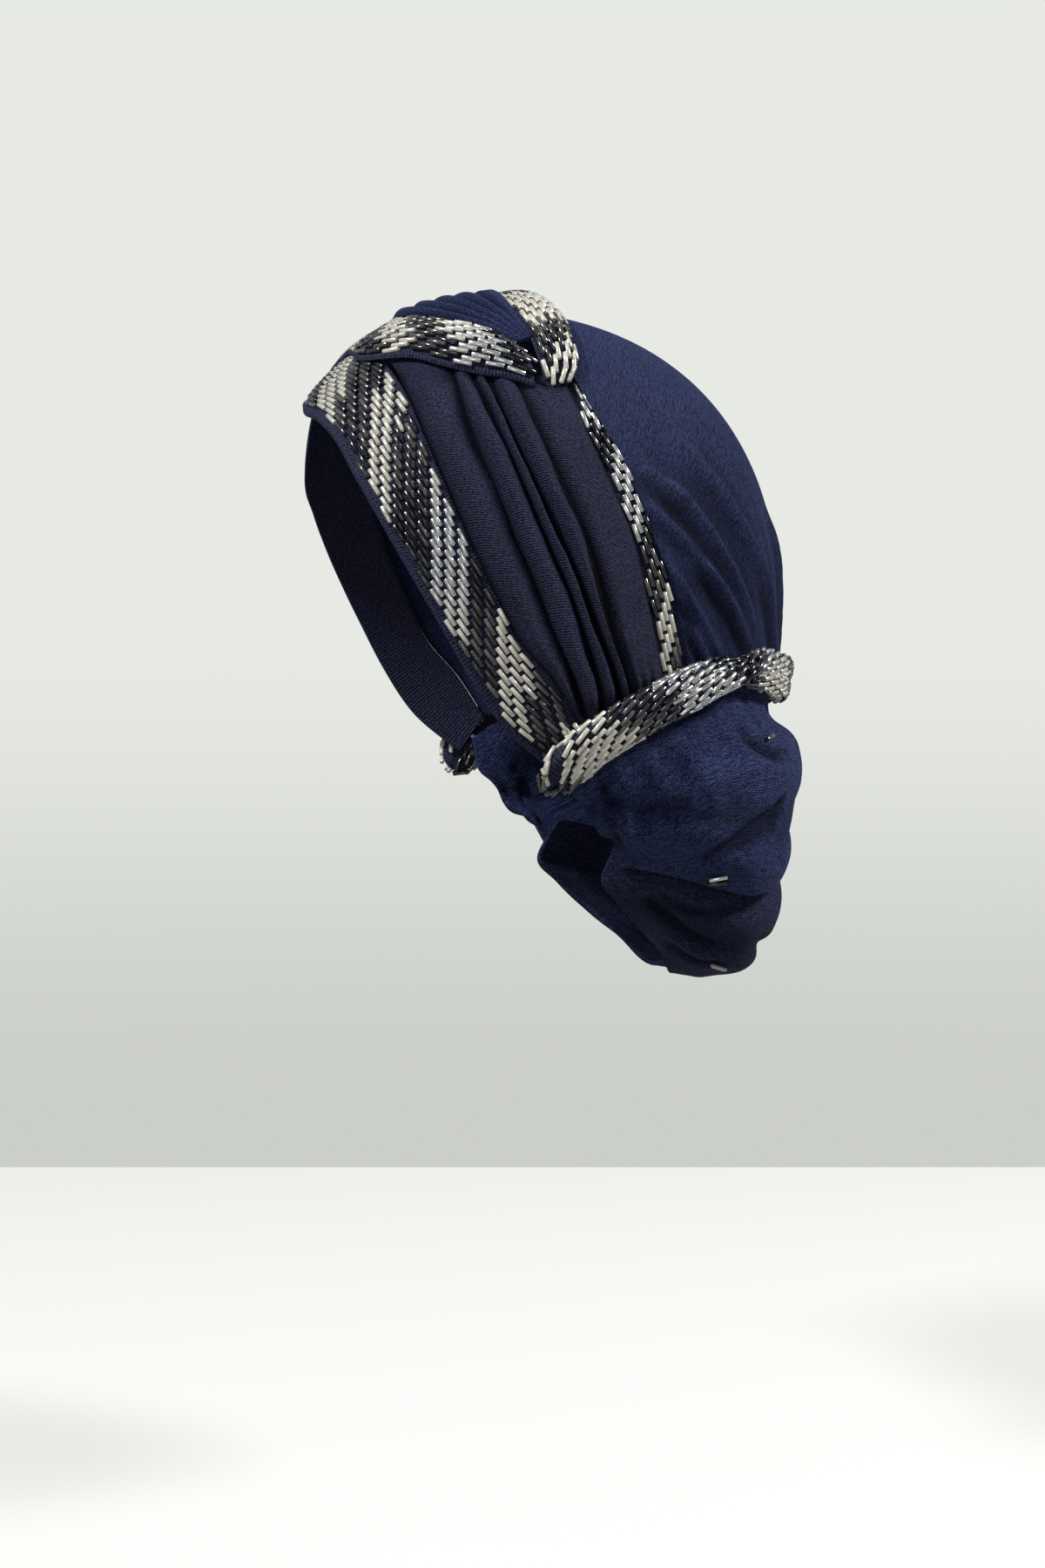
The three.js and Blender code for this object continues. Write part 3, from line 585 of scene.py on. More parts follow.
    links.new(real.outputs[0], paint.inputs["Geometry"])
    links.new(given.outputs["Glass"], paint.inputs["Material"])
    links.new(paint.outputs[0], result.inputs[0])
    return tree


beadRows = buildBeadRows()


def strung(name, surface, rows):
    # runs the tree on a surface and keeps its result as a plain mesh
    carrier = addPiece(name + "Carrier", surface)
    modifier = carrier.modifiers.new("beads", "NODES")
    modifier.node_group = beadRows
    keys = {item.name: item.identifier for item in beadRows.interface.items_tree if item.in_out == "INPUT"}
    values = {"Pitch": rows["pitch"] * mm, "Row Pitch": rows["rowPitch"] * mm,
              "Row Shift": rows["rowShift"] * mm, "Tilt": math.radians(rows["tilt"]),
              "Columns": rows["columns"], "Rows": rows["rows"], "Start Along": rows["start"][0] * mm,
              "Start Across": rows["start"][1] * mm, "Height": bandLook["beadRadius"] * mm,
              "Unevenness": rows["unevenness"], "Seed": rows["seed"], "Bead": beadShape,
              "Glass": beadFinish}
    for label, value in values.items():
        modifier[keys[label]] = value
    carrier.update_tag()
    reading = bpy.context.evaluated_depsgraph_get()
    mesh = bpy.data.meshes.new_from_object(carrier.evaluated_get(reading))
    for key in ("aim", "upright", "missing", "target"):
        if key in mesh.attributes:
            mesh.attributes.remove(mesh.attributes[key])
    mesh.name = name
    bpy.data.objects.remove(carrier)
    print(name, "beads", len(mesh.polygons) // len(beadShape.data.polygons))
    beads = addPiece(name, mesh)
    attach(beads, "root")
    return beads


def rowsOver(look, length, wide, seed):
    # a field of rows large enough to cover the cloth at their tilt
    spread = length * math.sin(math.radians(abs(look["tilt"]))) + wide
    return {"pitch": look["pitch"], "rowPitch": look["rowPitch"], "rowShift": look["rowShift"],
            "tilt": look["tilt"], "columns": int((length + 2 * wide) / look["pitch"]) + look["spare"],
            "rows": int(2 * spread / look["rowPitch"]) + 4, "start": (-wide * 0.3, -spread),
            "unevenness": look["unevenness"], "seed": seed}


# beaded bands
# edges and heights of each band, as in the model, and where its stripes change along front and rear edge
leftFrontBand = {
    "front": [(-30, -67, -25), (-12, -76, -31), (6, -80, -35), (24, -77, -40), (40, -73, -49),
              (52, -68, -63), (60, -63, -75), (71, -51, -100), (76, -39, -122), (79, -28, -142),
              (79, -14, -162), (77, 6, -179)],
    "rear": [(-20, -48, -8), (-4, -53, -10), (17, -54, -12), (36, -50, -20), (52, -47, -30), (62, -43, -45),
             (69, -39, -58), (78, -28, -88), (82, -17, -112), (83, -8, -129), (82, 6, -145),
             (81, 18, -164)],
    "stripes": [(0, -50), (28, -22), (55, 5), (80, 28), (107, 57), (134, 78), (163, 113), (189, 151),
                (210, 172), (232, 200), (255, 223)],
    "firstTone": 0, "glitterAt": (128, 160), "hem": 3.0,
}
leftRearBand = {
    "front": [(60, 18, -25), (66, 20, -37), (70, 23, -48), (75, 31, -68), (77, 39, -88), (78, 45, -112),
              (76, 51, -140), (75, 54, -153)],
    "rear": [(60, 24, -25), (64, 28, -35), (68, 32, -45), (72, 40, -64), (75, 48, -85), (75, 56, -109),
             (73, 62, -139), (71, 66, -151)],
    "stripes": [(24, 15), (43, 29), (76, 62), (100, 82), (134, 108)],
    "firstTone": 1, "glitterAt": (-30, 62), "hem": 0.6,
}
frontStrap = {
    "front": [(64, 2, -27), (62, -9, -25), (59, -21, -23), (53, -33, -19), (44, -43, -16), (34, -54, -15),
              (22, -60, -15), (5, -59, -13), (-12, -58, -14), (-29, -63, -27), (-43, -67, -45)],
    "rear": [(57, 2, -14), (55, -5, -7), (49, -15, -3), (42, -25, 0), (33, -33, 3), (20, -39, 4),
             (5, -41, 4), (-11, -40, 3), (-26, -39, -2), (-41, -42, -14), (-53, -44, -30)],
    "lifts": [(5.5, 8, 8), (6.8, 10.5, 10), (6.8, 12, 11), (6.8, 12.5, 11), (6.8, 12, 10.5),
              (6.2, 10, 9.5), (5.5, 7.4, 8.4), (5.5, 6.2, 7), (5.5, 6, 6.2), (5.5, 6, 5.5), (4, 4.2, 4)],
    "stripes": [(-4, 24), (27, 47), (46, 65), (60, 83)],
    "firstTone": 0, "glitterAt": (-30, 22), "hem": 1.6,
}
rearStrap = {
    "front": [(62, 7, -24), (60, 5, -15), (55, 3, -6), (47, -1, 3), (32, -3, 10), (16, -3, 14),
              (-2, -2, 15), (-21, 0, 10), (-38, 4, 0), (-51, 11, -12)],
    "rear": [(61, 16, -27), (59, 21, -20), (54, 22, -10), (42, 22, 1), (28, 22, 7), (13, 22, 10),
             (-4, 22, 10), (-21, 22, 7), (-37, 24, -2), (-50, 27, -13)],
    "lifts": [(5.5, 6.5, 5.2), (9, 10, 7), (11.5, 12.5, 8.5), (13, 14.5, 9.2), (13.5, 15.5, 9.2),
              (13, 15, 9.2), (12, 14, 9.2), (9.5, 11.5, 9), (6.5, 8.5, 8.3), (4, 6, 6)],
    "stripes": [(5, 26), (22, 36), (55, 62), (78, 84)],
    "firstTone": 1, "glitterAt": (-60, -30), "hem": 0.6,
}
plainLifts = (2.6, 2.8, 2.6)
# the knit lies lower under the beads and rises again along its plain hem, lengths in mm
bandLook = {"wall": 2.3, "beadRadius": 1.0, "across": 26, "alongStep": 1.3, "underBeads": 0.3,
            "hemRise": 0.92, "crumple": 0.12, "rowsFrom": 0.6, "beadSink": 0.1, "stripeBlur": 1.6,
            "glitterBlur": (22, 4), "pitch": 9.2, "rowPitch": 2.2, "rowShift": 5.75, "tilt": 4,
            "unevenness": 0.06, "spare": 6}
hemCloth = navyKnit("hemCloth", dict(panelLook, ribWidth=0.0014, stitchWidth=0.0008, relief=0.5))


def bandEdges(band):
    rows = len(band["front"])
    lifts = band.get("lifts", [])
    lifts = list(lifts) + [plainLifts] * (rows - len(lifts))
    return np.array(band["front"], float), np.array(band["rear"], float), np.array(lifts, float)


def liftAcross(lifts, u):
    front, crest, rear = lifts[..., 0], lifts[..., 1], lifts[..., 2]
    bow = np.sin(np.pi * u)
    return np.where(u < 0.5, front + (crest - front) * bow, rear + (crest - rear) * bow)


def bandGrid(band):
    # points over the band at its full height, with the distance along and across it
    front, rear, lifts = bandEdges(band)
    rough = column((front + rear) / 2, np.linspace(0, 1, 200))
    length = np.linalg.norm(np.diff(onHead(rough, 0), axis=0), axis=1).sum()
    v = np.linspace(0, 1, int(length / bandLook["alongStep"]))[:, None]
    u = np.linspace(0, 1, bandLook["across"])[None, :]
    edge = column(front, v) * (1 - u[..., None]) + column(rear, v) * u[..., None]
    place = onHead(edge, liftAcross(column(lifts, v), u))
    along = spans(place, 0)
    along = np.repeat(along[:, [along.shape[1] // 2]], place.shape[1], 1)
    across = spans(place, 1)
    return place, along, across


def stripeTone(edges, along):
    # 0 and 1 by turns, changing over at each edge
    passed = 0
    for edge in edges:
        passed = passed + ease(-bandLook["stripeBlur"], bandLook["stripeBlur"], along - edge)
    return 1 - np.abs(np.mod(passed, 2) - 1)


def bandTone(band, along, across):
    share = across / across[:, -1:]
    odd = stripeTone([front + (rear - front) * share for front, rear in band["stripes"]], along)
    tone = odd if band["firstTone"] == 0 else 1 - odd
    low, high = band["glitterAt"]
    far, close = bandLook["glitterBlur"]
    glitter = ease(low - far, low + close, along) * (1 - ease(high - close, high + far, along))
    return tone, glitter


def directions(place):
    # the unit direction along a grid's lines
    steps = np.gradient(place, axis=0)
    return steps / (np.linalg.norm(steps, axis=-1, keepdims=True) + 1e-9)


def makeBand(name, band, node, seed):
    place, along, across = bandGrid(band)
    hem = ease(0, 0.9, across) * (1 - ease(band["hem"] - 0.8, band["hem"] + 0.5, across))
    drop = (2 * bandLook["beadRadius"] - bandLook["underBeads"]) * (1 - bandLook["hemRise"] * hem)
    drop = drop + bandLook["crumple"] * wander(along / 9.0, across / 4.0, along / 3.1)
    uv = np.stack([across, along], -1)
    cloth = addPiece(name, gridMesh(name, inwards(place, drop), inwards(place, bandLook["wall"]), uv))
    # the beads' own surface, without the hem
    tone, glitter = bandTone(band, along, across)
    first = int(np.argmax(across[len(across) // 2] > band["hem"] + bandLook["rowsFrom"]))
    part = (slice(1, -1), slice(first, -1))
    under = inwards(place, 2 * bandLook["beadRadius"] - bandLook["beadSink"])
    surface = gridMesh(name + "Surface", under[part], None, np.stack([along, across], -1)[part],
                       {"ahead": directions(place)[part], "tone": tone[part], "glitter": glitter[part]})
    asKnit(cloth, node, hemCloth)
    beads = strung(name + "_beads", surface,
                   rowsOver(bandLook, float(along.max()), float(across[:, -1:].max()), seed))


rightFrontBand = dict(frontStrap, front=frontStrap["front"] + flipped(leftFrontBand["front"])[5:],
                      rear=frontStrap["rear"] + flipped(leftFrontBand["rear"])[5:],
                      stripes=frontStrap["stripes"] + [(88, 100), (116, 120), (144, 142), (172, 164),
                                                       (200, 188), (228, 212), (256, 236), (284, 260),
                                                       (312, 284)])
rightRearBand = dict(rearStrap, front=rearStrap["front"] + flipped(leftRearBand["front"]),
                     rear=rearStrap["rear"] + flipped(leftRearBand["rear"]),
                     stripes=rearStrap["stripes"] + [(102, 106), (126, 128), (150, 150), (176, 172),
                                                     (202, 196), (228, 220), (254, 244)])
for title, band, node, flat, rests, seed in [
        ("frontBandLeft", leftFrontBand, "front_band_left", (0.032, 0.245), ["panel_left"], 11),
        ("frontBandRight", rightFrontBand, "front_band_right", (0.034, 0.31),
         ["front_band_left", "panel_right"], 12),
        ("rearBandLeft", leftRearBand, "rear_band_left", (0.012, 0.145), ["crown_back"], 13),
        ("rearBandRight", rightRearBand, "rear_band_right", (0.021, 0.27), ["crown_back"], 14)]:
    makeBand(title, band, node, seed)
print("bands ready")

# pleated panels
leftCreases = {"top": (0.33, 0.41, 0.52, 0.65), "upper": (0.275, 0.43, 0.495, 0.655),
               "middle": (0.26, 0.43, 0.52, 0.665), "lower": (0.24, 0.44, 0.55, 0.64),
               "tie": (0.08, 0.28, 0.48, 0.57)}
rightCreases = {"top": (0.2, 0.4, 0.6, 0.8), "upper": (0.2, 0.4, 0.6, 0.8),
                "middle": (0.3, 0.43, 0.56, 0.7), "lower": (0.32, 0.44, 0.55, 0.66),
                "tie": (0.2, 0.35, 0.5, 0.65)}
panelShape = {"seam": 0.5, "underBand": 0.8, "lift": 1.9, "wall": 1.0, "valley": 0.9, "overhang": 1.7,
              "gutter": 2.4, "rolls": (3.2, 4.4, 4.2, 4.6, 2.0), "packing": 0.8, "crestLean": 1.1,
              "crestPower": 0.65, "wave": 0.06, "pucker": 0.13, "fanWide": 0.013, "gutterShadePower": 1.4,
              "pressed": (0.9, 0.98), "innerShare": 0.6, "innerSink": 0.75, "knotRoll": 3.4, "knotEnd": 0.5,
              "knot": [(7.6, 9.5), (9, 11.5), (8, 11.5), (6.3, 9.5), (4.2, 5.5), (1.9, 1.9)],
              "perRoll": 30, "along": 240}
# small folds that fan out under the strap's tip, and gathers above the tie, on the left panel only
tipFan = [((0.05, 0.72), (0.19, 0.79), 0.9), ((0.03, 0.79), (0.15, 0.9), 0.8),
          ((0.05, 0.86), (0.10, 0.97), 0.6)]
tieGathers = {"from": 0.6, "to": 0.97, "count": 4, "depth": 0.9}


def rollColumns(bounds):
    # for each column of the panel: its roll, its place within the roll, and its share across at every level
    final = len(panelShape["rolls"]) - 1
    within, roll = [], []
    for r in range(final + 1):
        steps = panelShape["perRoll"] + (1 if r == final else 0)
        within += list((np.arange(steps) / panelShape["perRoll"]) ** panelShape["packing"])
        roll += [r] * steps
    within, roll = np.array(within), np.array(roll)
    share = bounds[:, roll] * (1 - within) + bounds[:, roll + 1] * within
    return within[None, :] + 0 * share, roll, share, roll == final


def smallFolds(level, share):
    # the fan under the strap's tip and the gathers above the tie
    height = 0
    for (v0, s0), (v1, s1), tall in tipFan:
        t = np.clip((level - v0) / (v1 - v0), -0.3, 1.3)
        away = (share - (s0 + (s1 - s0) * t)) / panelShape["fanWide"]
        height = height + tall * np.exp(-away ** 2) * ease(-0.2, 0.1, t) * (1 - ease(0.6, 1.1, t))
    turns = (share - tieGathers["from"]) / (tieGathers["to"] - tieGathers["from"])
    gather = np.cos(2 * np.pi * tieGathers["count"] * np.clip(turns, 0, 1)) - 1
    return height + 0.5 * tieGathers["depth"] * gather * ease(0.8, 0.97, level) * (turns > 0) * (turns < 1)


def makePanel(name, frontRows, rearRows, creases, knotted, cloth, node):
    v = np.linspace(0, 1, panelShape["along"])
    frontEdge = alongLine(edgeLine(frontRows), v)
    rearEdge = alongLine(edgeLine(rearRows), v)
    table = np.array([creases[key] for key in ("top", "upper", "middle", "lower", "tie")], float)
    bounds = np.concatenate([np.zeros((len(v), 1)), column(table, v), np.ones((len(v), 1))], 1)
    w, roll, share, last = rollColumns(bounds)
    width = np.linalg.norm(frontEdge - rearEdge, axis=1)
    inset = (panelShape["seam"] / width)[:, None]
    whole = 1 - inset + (panelShape["underBand"] / width)[:, None]
    level = v[:, None] + 0 * share
    tall = np.array(panelShape["rolls"])[roll]
    if knotted:
        both = column(np.array(panelShape["knot"], float), np.minimum(v / panelShape["knotEnd"], 1))
        lift = both[:, :1] * (1 - share) + both[:, 1:] * share
        past = ease(0.1, panelShape["knotEnd"], level)
        heights = panelShape["knotRoll"] * (1 - past) + tall * past
        heights = heights * ease(-0.1, 0.1, level)
    else:
        lift = panelShape["lift"] + 0 * share
        heights = tall * ease(-0.05, 0.25, level)
    pressed = 1 - ease(*panelShape["pressed"], level)
    heights = heights * pressed
    # every roll swells and drops into a gutter, the last one lies flat against the band
    wave = panelShape["wave"] * wander(level * 19 + roll * 1.3, level * 31 + roll * 2.9, level * 7 + roll)
    rollWidth = (bounds[:, roll + 1] - bounds[:, roll]) * width[:, None]
    gutter = np.clip(panelShape["gutter"] / rollWidth, 0, 0.42) * ease(0.0, 0.12, level)
    swell = np.clip(w / (1 - gutter + wave), 0, 1)
    crest = np.sin(np.pi * swell ** panelShape["crestLean"]) ** panelShape["crestPower"]
    crest = np.where(last, ease(0, 0.3, w) ** 0.8 * (1 - ease(0.8, 1, w)), crest)
    rise = crest * heights
    # each roll leans over the crease behind it
    over = panelShape["overhang"] * ease(0.35, 0.85, w) * (1 - ease(0.93, 1, w)) * ease(0.5, 2.5,
                                                                                        heights) * ~last
    gone = ease(0, 0.06, level) * pressed * ((share > 0.01) & (share < 0.99))
    cut = np.exp(-(w / 0.05) ** 2) * (roll > 0) + np.exp(-((1 - w) / 0.03) ** 2) * ~last
    valley = -panelShape["valley"] * cut * gone
    pucker = wander(level * 61 + roll * 2.1, level * 37 + 9 * share, share * 60 + level * 23)
    pucker = panelShape["pucker"] * pucker * crest
    if not knotted:
        pucker = pucker + smallFolds(level, share)
    mix = (inset + whole * np.clip(share + over / width[:, None], 0, 1))[..., None]
    edge = frontEdge[:, None] * (1 - mix) + rearEdge[:, None] * mix
    plain = (inset + whole * share)[..., None]
    under = frontEdge[:, None] * (1 - plain) + rearEdge[:, None] * plain
    outer = onHead(edge, np.maximum(lift + rise + valley + pucker, 0.9 * (lift > 0)))
    below = lift + rise * panelShape["innerShare"] - panelShape["wall"] - panelShape["innerSink"]
    inner = onHead(under, np.maximum(below, 0.15))
    uv = np.stack([spans(outer, 1), spans(onHead(under, lift), 0)], -1)
    # painted shade in the gutters between rolls and along the band edges, strongest where the roll is lowest
    paintedShade = (1 - np.clip(crest, 0, 1)) ** panelShape["gutterShadePower"] * ease(0, 0.08, level)
    piece = addPiece(name, gridMesh(name, outer, inner, uv, {"paintedShade": paintedShade}))
    asKnit(piece, node, cloth)


makePanel("panelLeft", [(33, -50, -15)] + leftFrontBand["rear"][4:],
          [(60, 10, -20), (61, 16, -26)] + leftRearBand["front"][1:],
          leftCreases, False, panelCloth, "panel_left")

makePanel("panelRight", rightFrontBand["rear"][1:], rightRearBand["front"][2:], rightCreases, True,
          knotCloth, "panel_right")
print("panels ready")

# the crown's back
rimLine = {
    "at": [(80, 12, -176), (80, 25, -168), (79, 38, -162), (75, 56, -156), (68, 74, -151), (56, 92, -148),
           (38, 107, -150), (0, 119, -152.6)],
    "lift": [2.2, 2.2, 2.2, 2, 1.2, 0.6, 0.6, 0.6]}
hemLine = {
    "at": [(78, 14, -187), (80, 25, -179), (80, 38, -170), (77, 56, -162), (68, 76, -155), (56, 94, -153),
           (38, 107, -156), (0, 119, -159.5)],
    "lift": [2.4, 2.6, 2.6, 2.6, 2.4, 2, 1.6, 1.6]}


def roundTheBack(line):
    left = onHead(np.array(line["at"], float), np.array(line["lift"], float))
    right = (left * (-1, 1, 1))[:-1][::-1]
    return edgeLine(np.concatenate([left, right]))


crownShape = {"foldGain": 2.4, "lift": 2.2, "rise": 4, "pinch": 1.6, "soft": 0.22, "rimShare": 0.2,
              "underBand": 2.2, "dive": 1.9, "diveShare": 0.025, "cornerPower": 9, "wall": 1.1,
              "innerSink": 1.3, "tucks": (0.1, 0.25, 0.25, 0.25, 0.25, 0.25, 0.22, 0.1, -0.06),
              "across": 220, "down": 150}
# how much painted shade darkens the cloth beside a fold, in a gather and along the sides
crownShade = {"wider": 2.4, "beside": 1.4, "onFold": 2.2, "foldDark": 0.85, "gatherDepth": 1.3,
               "gatherDark": 0.8, "edgeDark": 0.6}
crownGathers = [(17, 0.62, 0.7, 0.4), (29, 0.74, 0.45, 1.7)]
# ridges from beside the rear band down to the tie, as shares across and down the crown
crownFolds = [
    {"line": [(0.235, 0.41), (0.255, 0.55), (0.29, 0.68), (0.335, 0.80)], "tall": 1.3, "wide": 4.5},
    {"line": [(0.15, 0.43), (0.168, 0.58), (0.205, 0.73), (0.262, 0.87)], "tall": 1.6, "wide": 4.0},
    {"line": [(0.09, 0.36), (0.123, 0.45), (0.155, 0.54)], "tall": 1.0, "wide": 4.0},
    {"line": [(0.05, 0.42), (0.09, 0.54), (0.125, 0.63)], "tall": 0.9, "wide": 3.5},
    {"line": [(0.02, 0.58), (0.045, 0.68), (0.07, 0.76), (0.105, 0.88)], "tall": 1.4, "wide": 3.4,
     "fades": 0.3},
    {"line": [(0.12, 0.61), (0.142, 0.70), (0.18, 0.79), (0.22, 0.90)], "tall": 1.7, "wide": 3.4,
     "fades": 0.3},
    {"line": [(0.045, 0.78), (0.06, 0.85), (0.075, 0.93)], "tall": 0.9, "wide": 2.8, "fades": 0.3},
    {"line": [(0.30, 0.72), (0.33, 0.83), (0.36, 0.94)], "tall": 1.2, "wide": 3.6, "fades": 0.3},
    {"line": [(0.40, 0.60), (0.425, 0.76), (0.445, 0.93)], "tall": 1.3, "wide": 4.0, "fades": 0.3},
]

rim, hem = roundTheBack(rimLine), roundTheBack(hemLine)


def crownGrid():
    u = np.linspace(0, 1, crownShape["across"])
    v = np.linspace(0, 1, crownShape["down"])
    # the sides reach in under the rear bands
    sideRows = [(59.5, 27, -24)]
    for k, (x, y, z) in enumerate(leftRearBand["rear"][1:]):
        sideRows.append((x, y - crownShape["underBand"] * min(k, 3) / 3, z))
    left, right = alongLine(edgeLine(sideRows), v), alongLine(edgeLine(flipped(sideRows)), v)
    front, rear = np.array(rearStrap["front"], float), np.array(rearStrap["rear"], float)
    tucks = np.array(crownShape["tucks"])[:, None]
    tops = rear[1:] * (1 - tucks) + front[1:] * tucks
    top = alongLine(edgeLine(np.concatenate([[sideRows[0]], tops, [flipped(sideRows)[0]]])), u)
    start = crownShape["rimShare"]
    bottom = alongLine(rim, start + (1 - 2 * start) * u)
    blend = (v ** crownShape["cornerPower"])[:, None]
    left = left + (bottom[0] - left[-1]) * blend
    right = right + (bottom[-1] - right[-1]) * blend
    over, down = u[None, :, None], v[:, None, None]
    sides = left[:, None] * (1 - over) + right[:, None] * over
    ends = top[None] * (1 - down) + bottom[None] * down
    high = left[0] * (1 - over) + right[0] * over
    low = bottom[0] * (1 - over) + bottom[-1] * over
    place = sides + ends - (high * (1 - down) + low * down)
    over, down = over[..., 0], down[..., 0]
    nearSide = np.minimum(over, 1 - over)
    arch = np.sin(np.pi * np.clip(over, 1e-6, 1 - 1e-6)) ** 0.6
    rise = crownShape["rise"] * arch * (1 - ease(0, 0.5, down))
    drawn = ease(0, 0.15, nearSide) * ease(0.68, 0.9, down)
    dive = crownShape["dive"] * (1 - ease(0, crownShape["diveShare"], nearSide)) * ease(0, 0.03, down)
    return place, crownShape["lift"] + rise - crownShape["pinch"] * drawn - dive, over, down


def makeCrown(name):
    place, lift, over, down = crownGrid()
    # gathers fan up from the tie and lean outwards, and each one fades at its own height
    half = np.where(over < 0.5, over, 1 - over)
    clear = ease(0, 0.05, half)
    gathers = 0
    for count, reach, depth, phase in crownGathers:
        turn = 2 * np.pi * count * (half - 0.17 * down) + phase + 0.9 * np.sin(5 * down + 7 * half)
        grown = ease(reach - 0.25, 1.0, down + 0.12 * np.sin(9.0 * half + count))
        gathers = gathers - depth * (1 - np.abs(np.sin(turn / 2)) ** 0.8) * grown
    soft = crownShape["soft"] * wander(over * 9, down * 7, over * 5 + down * 6) * ease(0.05, 0.3, down)
    plain = onHead(place, lift)
    folded = crownShape["foldGain"] * foldHeights(plain, crownFolds, mirrored=True)
    # painted shade beside each fold, in the gathers and along the sides where the crown runs under the bands
    wider = [dict(fold, wide=crownShade["wider"] * fold["wide"]) for fold in crownFolds]
    beside = np.clip(foldHeights(plain, wider, mirrored=True) / crownShade["beside"], 0, 1)
    paintedShade = beside * (1 - np.clip(folded / crownShade["onFold"], 0, 1)) * crownShade["foldDark"]
    paintedShade = paintedShade + np.clip(-gathers / crownShade["gatherDepth"], 0, 1) * crownShade["gatherDark"]
    paintedShade = np.clip(paintedShade, 0, 1) * clear + (1 - clear) * crownShade["edgeDark"]
    outer = onHead(place, lift + (soft + gathers + folded) * clear)
    inner = onHead(place, lift - crownShape["wall"] - crownShape["innerSink"])
    uv = np.stack([spans(outer, 1), spans(outer, 0)], -1)
    piece = addPiece(name, gridMesh(name, outer, inner, uv, {"paintedShade": paintedShade}))
    asKnit(piece, "crown_back", crownCloth)


makeCrown("crownBack")
print("crown ready")

# the tie
tieBand = {
    "at": [(80, 6, -181), (82, 11, -174), (83, 21, -166), (83, 38, -157), (80, 56, -149), (72, 76, -141),
           (58, 95, -139), (38, 111, -142), (0, 120, -145)],
    "lift": [7.8, 8.4, 8.4, 8.5, 8.7, 8.6, 5.6, 4, 3.6],
    "rest": [3.2, 3.2, 3.2, 3.2, 3.2, 3.2, 2.8, 1.8, 2],
    "tall": [18, 22, 20, 19.5, 18.5, 15.5, 17.5, 18.5, 19], "thick": [9, 10, 10, 10, 10, 11, 8.5, 7, 6.6],
    "turn": [-12, -8, 0, 0, 8, 60, 150, 172, 180], "roundness": 0.75, "length": 380, "step": 0.002,
    "ends": [(0.3, 5.2), (0.62, 4.2), (0.86, 2.4)], "around": 72, "along": 300, "crease": 0.05,
    "lumps": 0.035, "stripes": [12, 44, 68, 96, 116, 150, 168, 188, 214, 240, 262, 290, 316, 342, 366],
    "stripeSlant": (0.55, 20), "glitterAt": (40, 60, 110, 140), "underBeads": 0.35, "beadSink": 0.2,
    "rowPitch": 2.35, "pitch": 9.3, "rowShift": 3.15, "tilt": 18, "unevenness": 0.07, "spare": 8,
    "seed": 21,
}


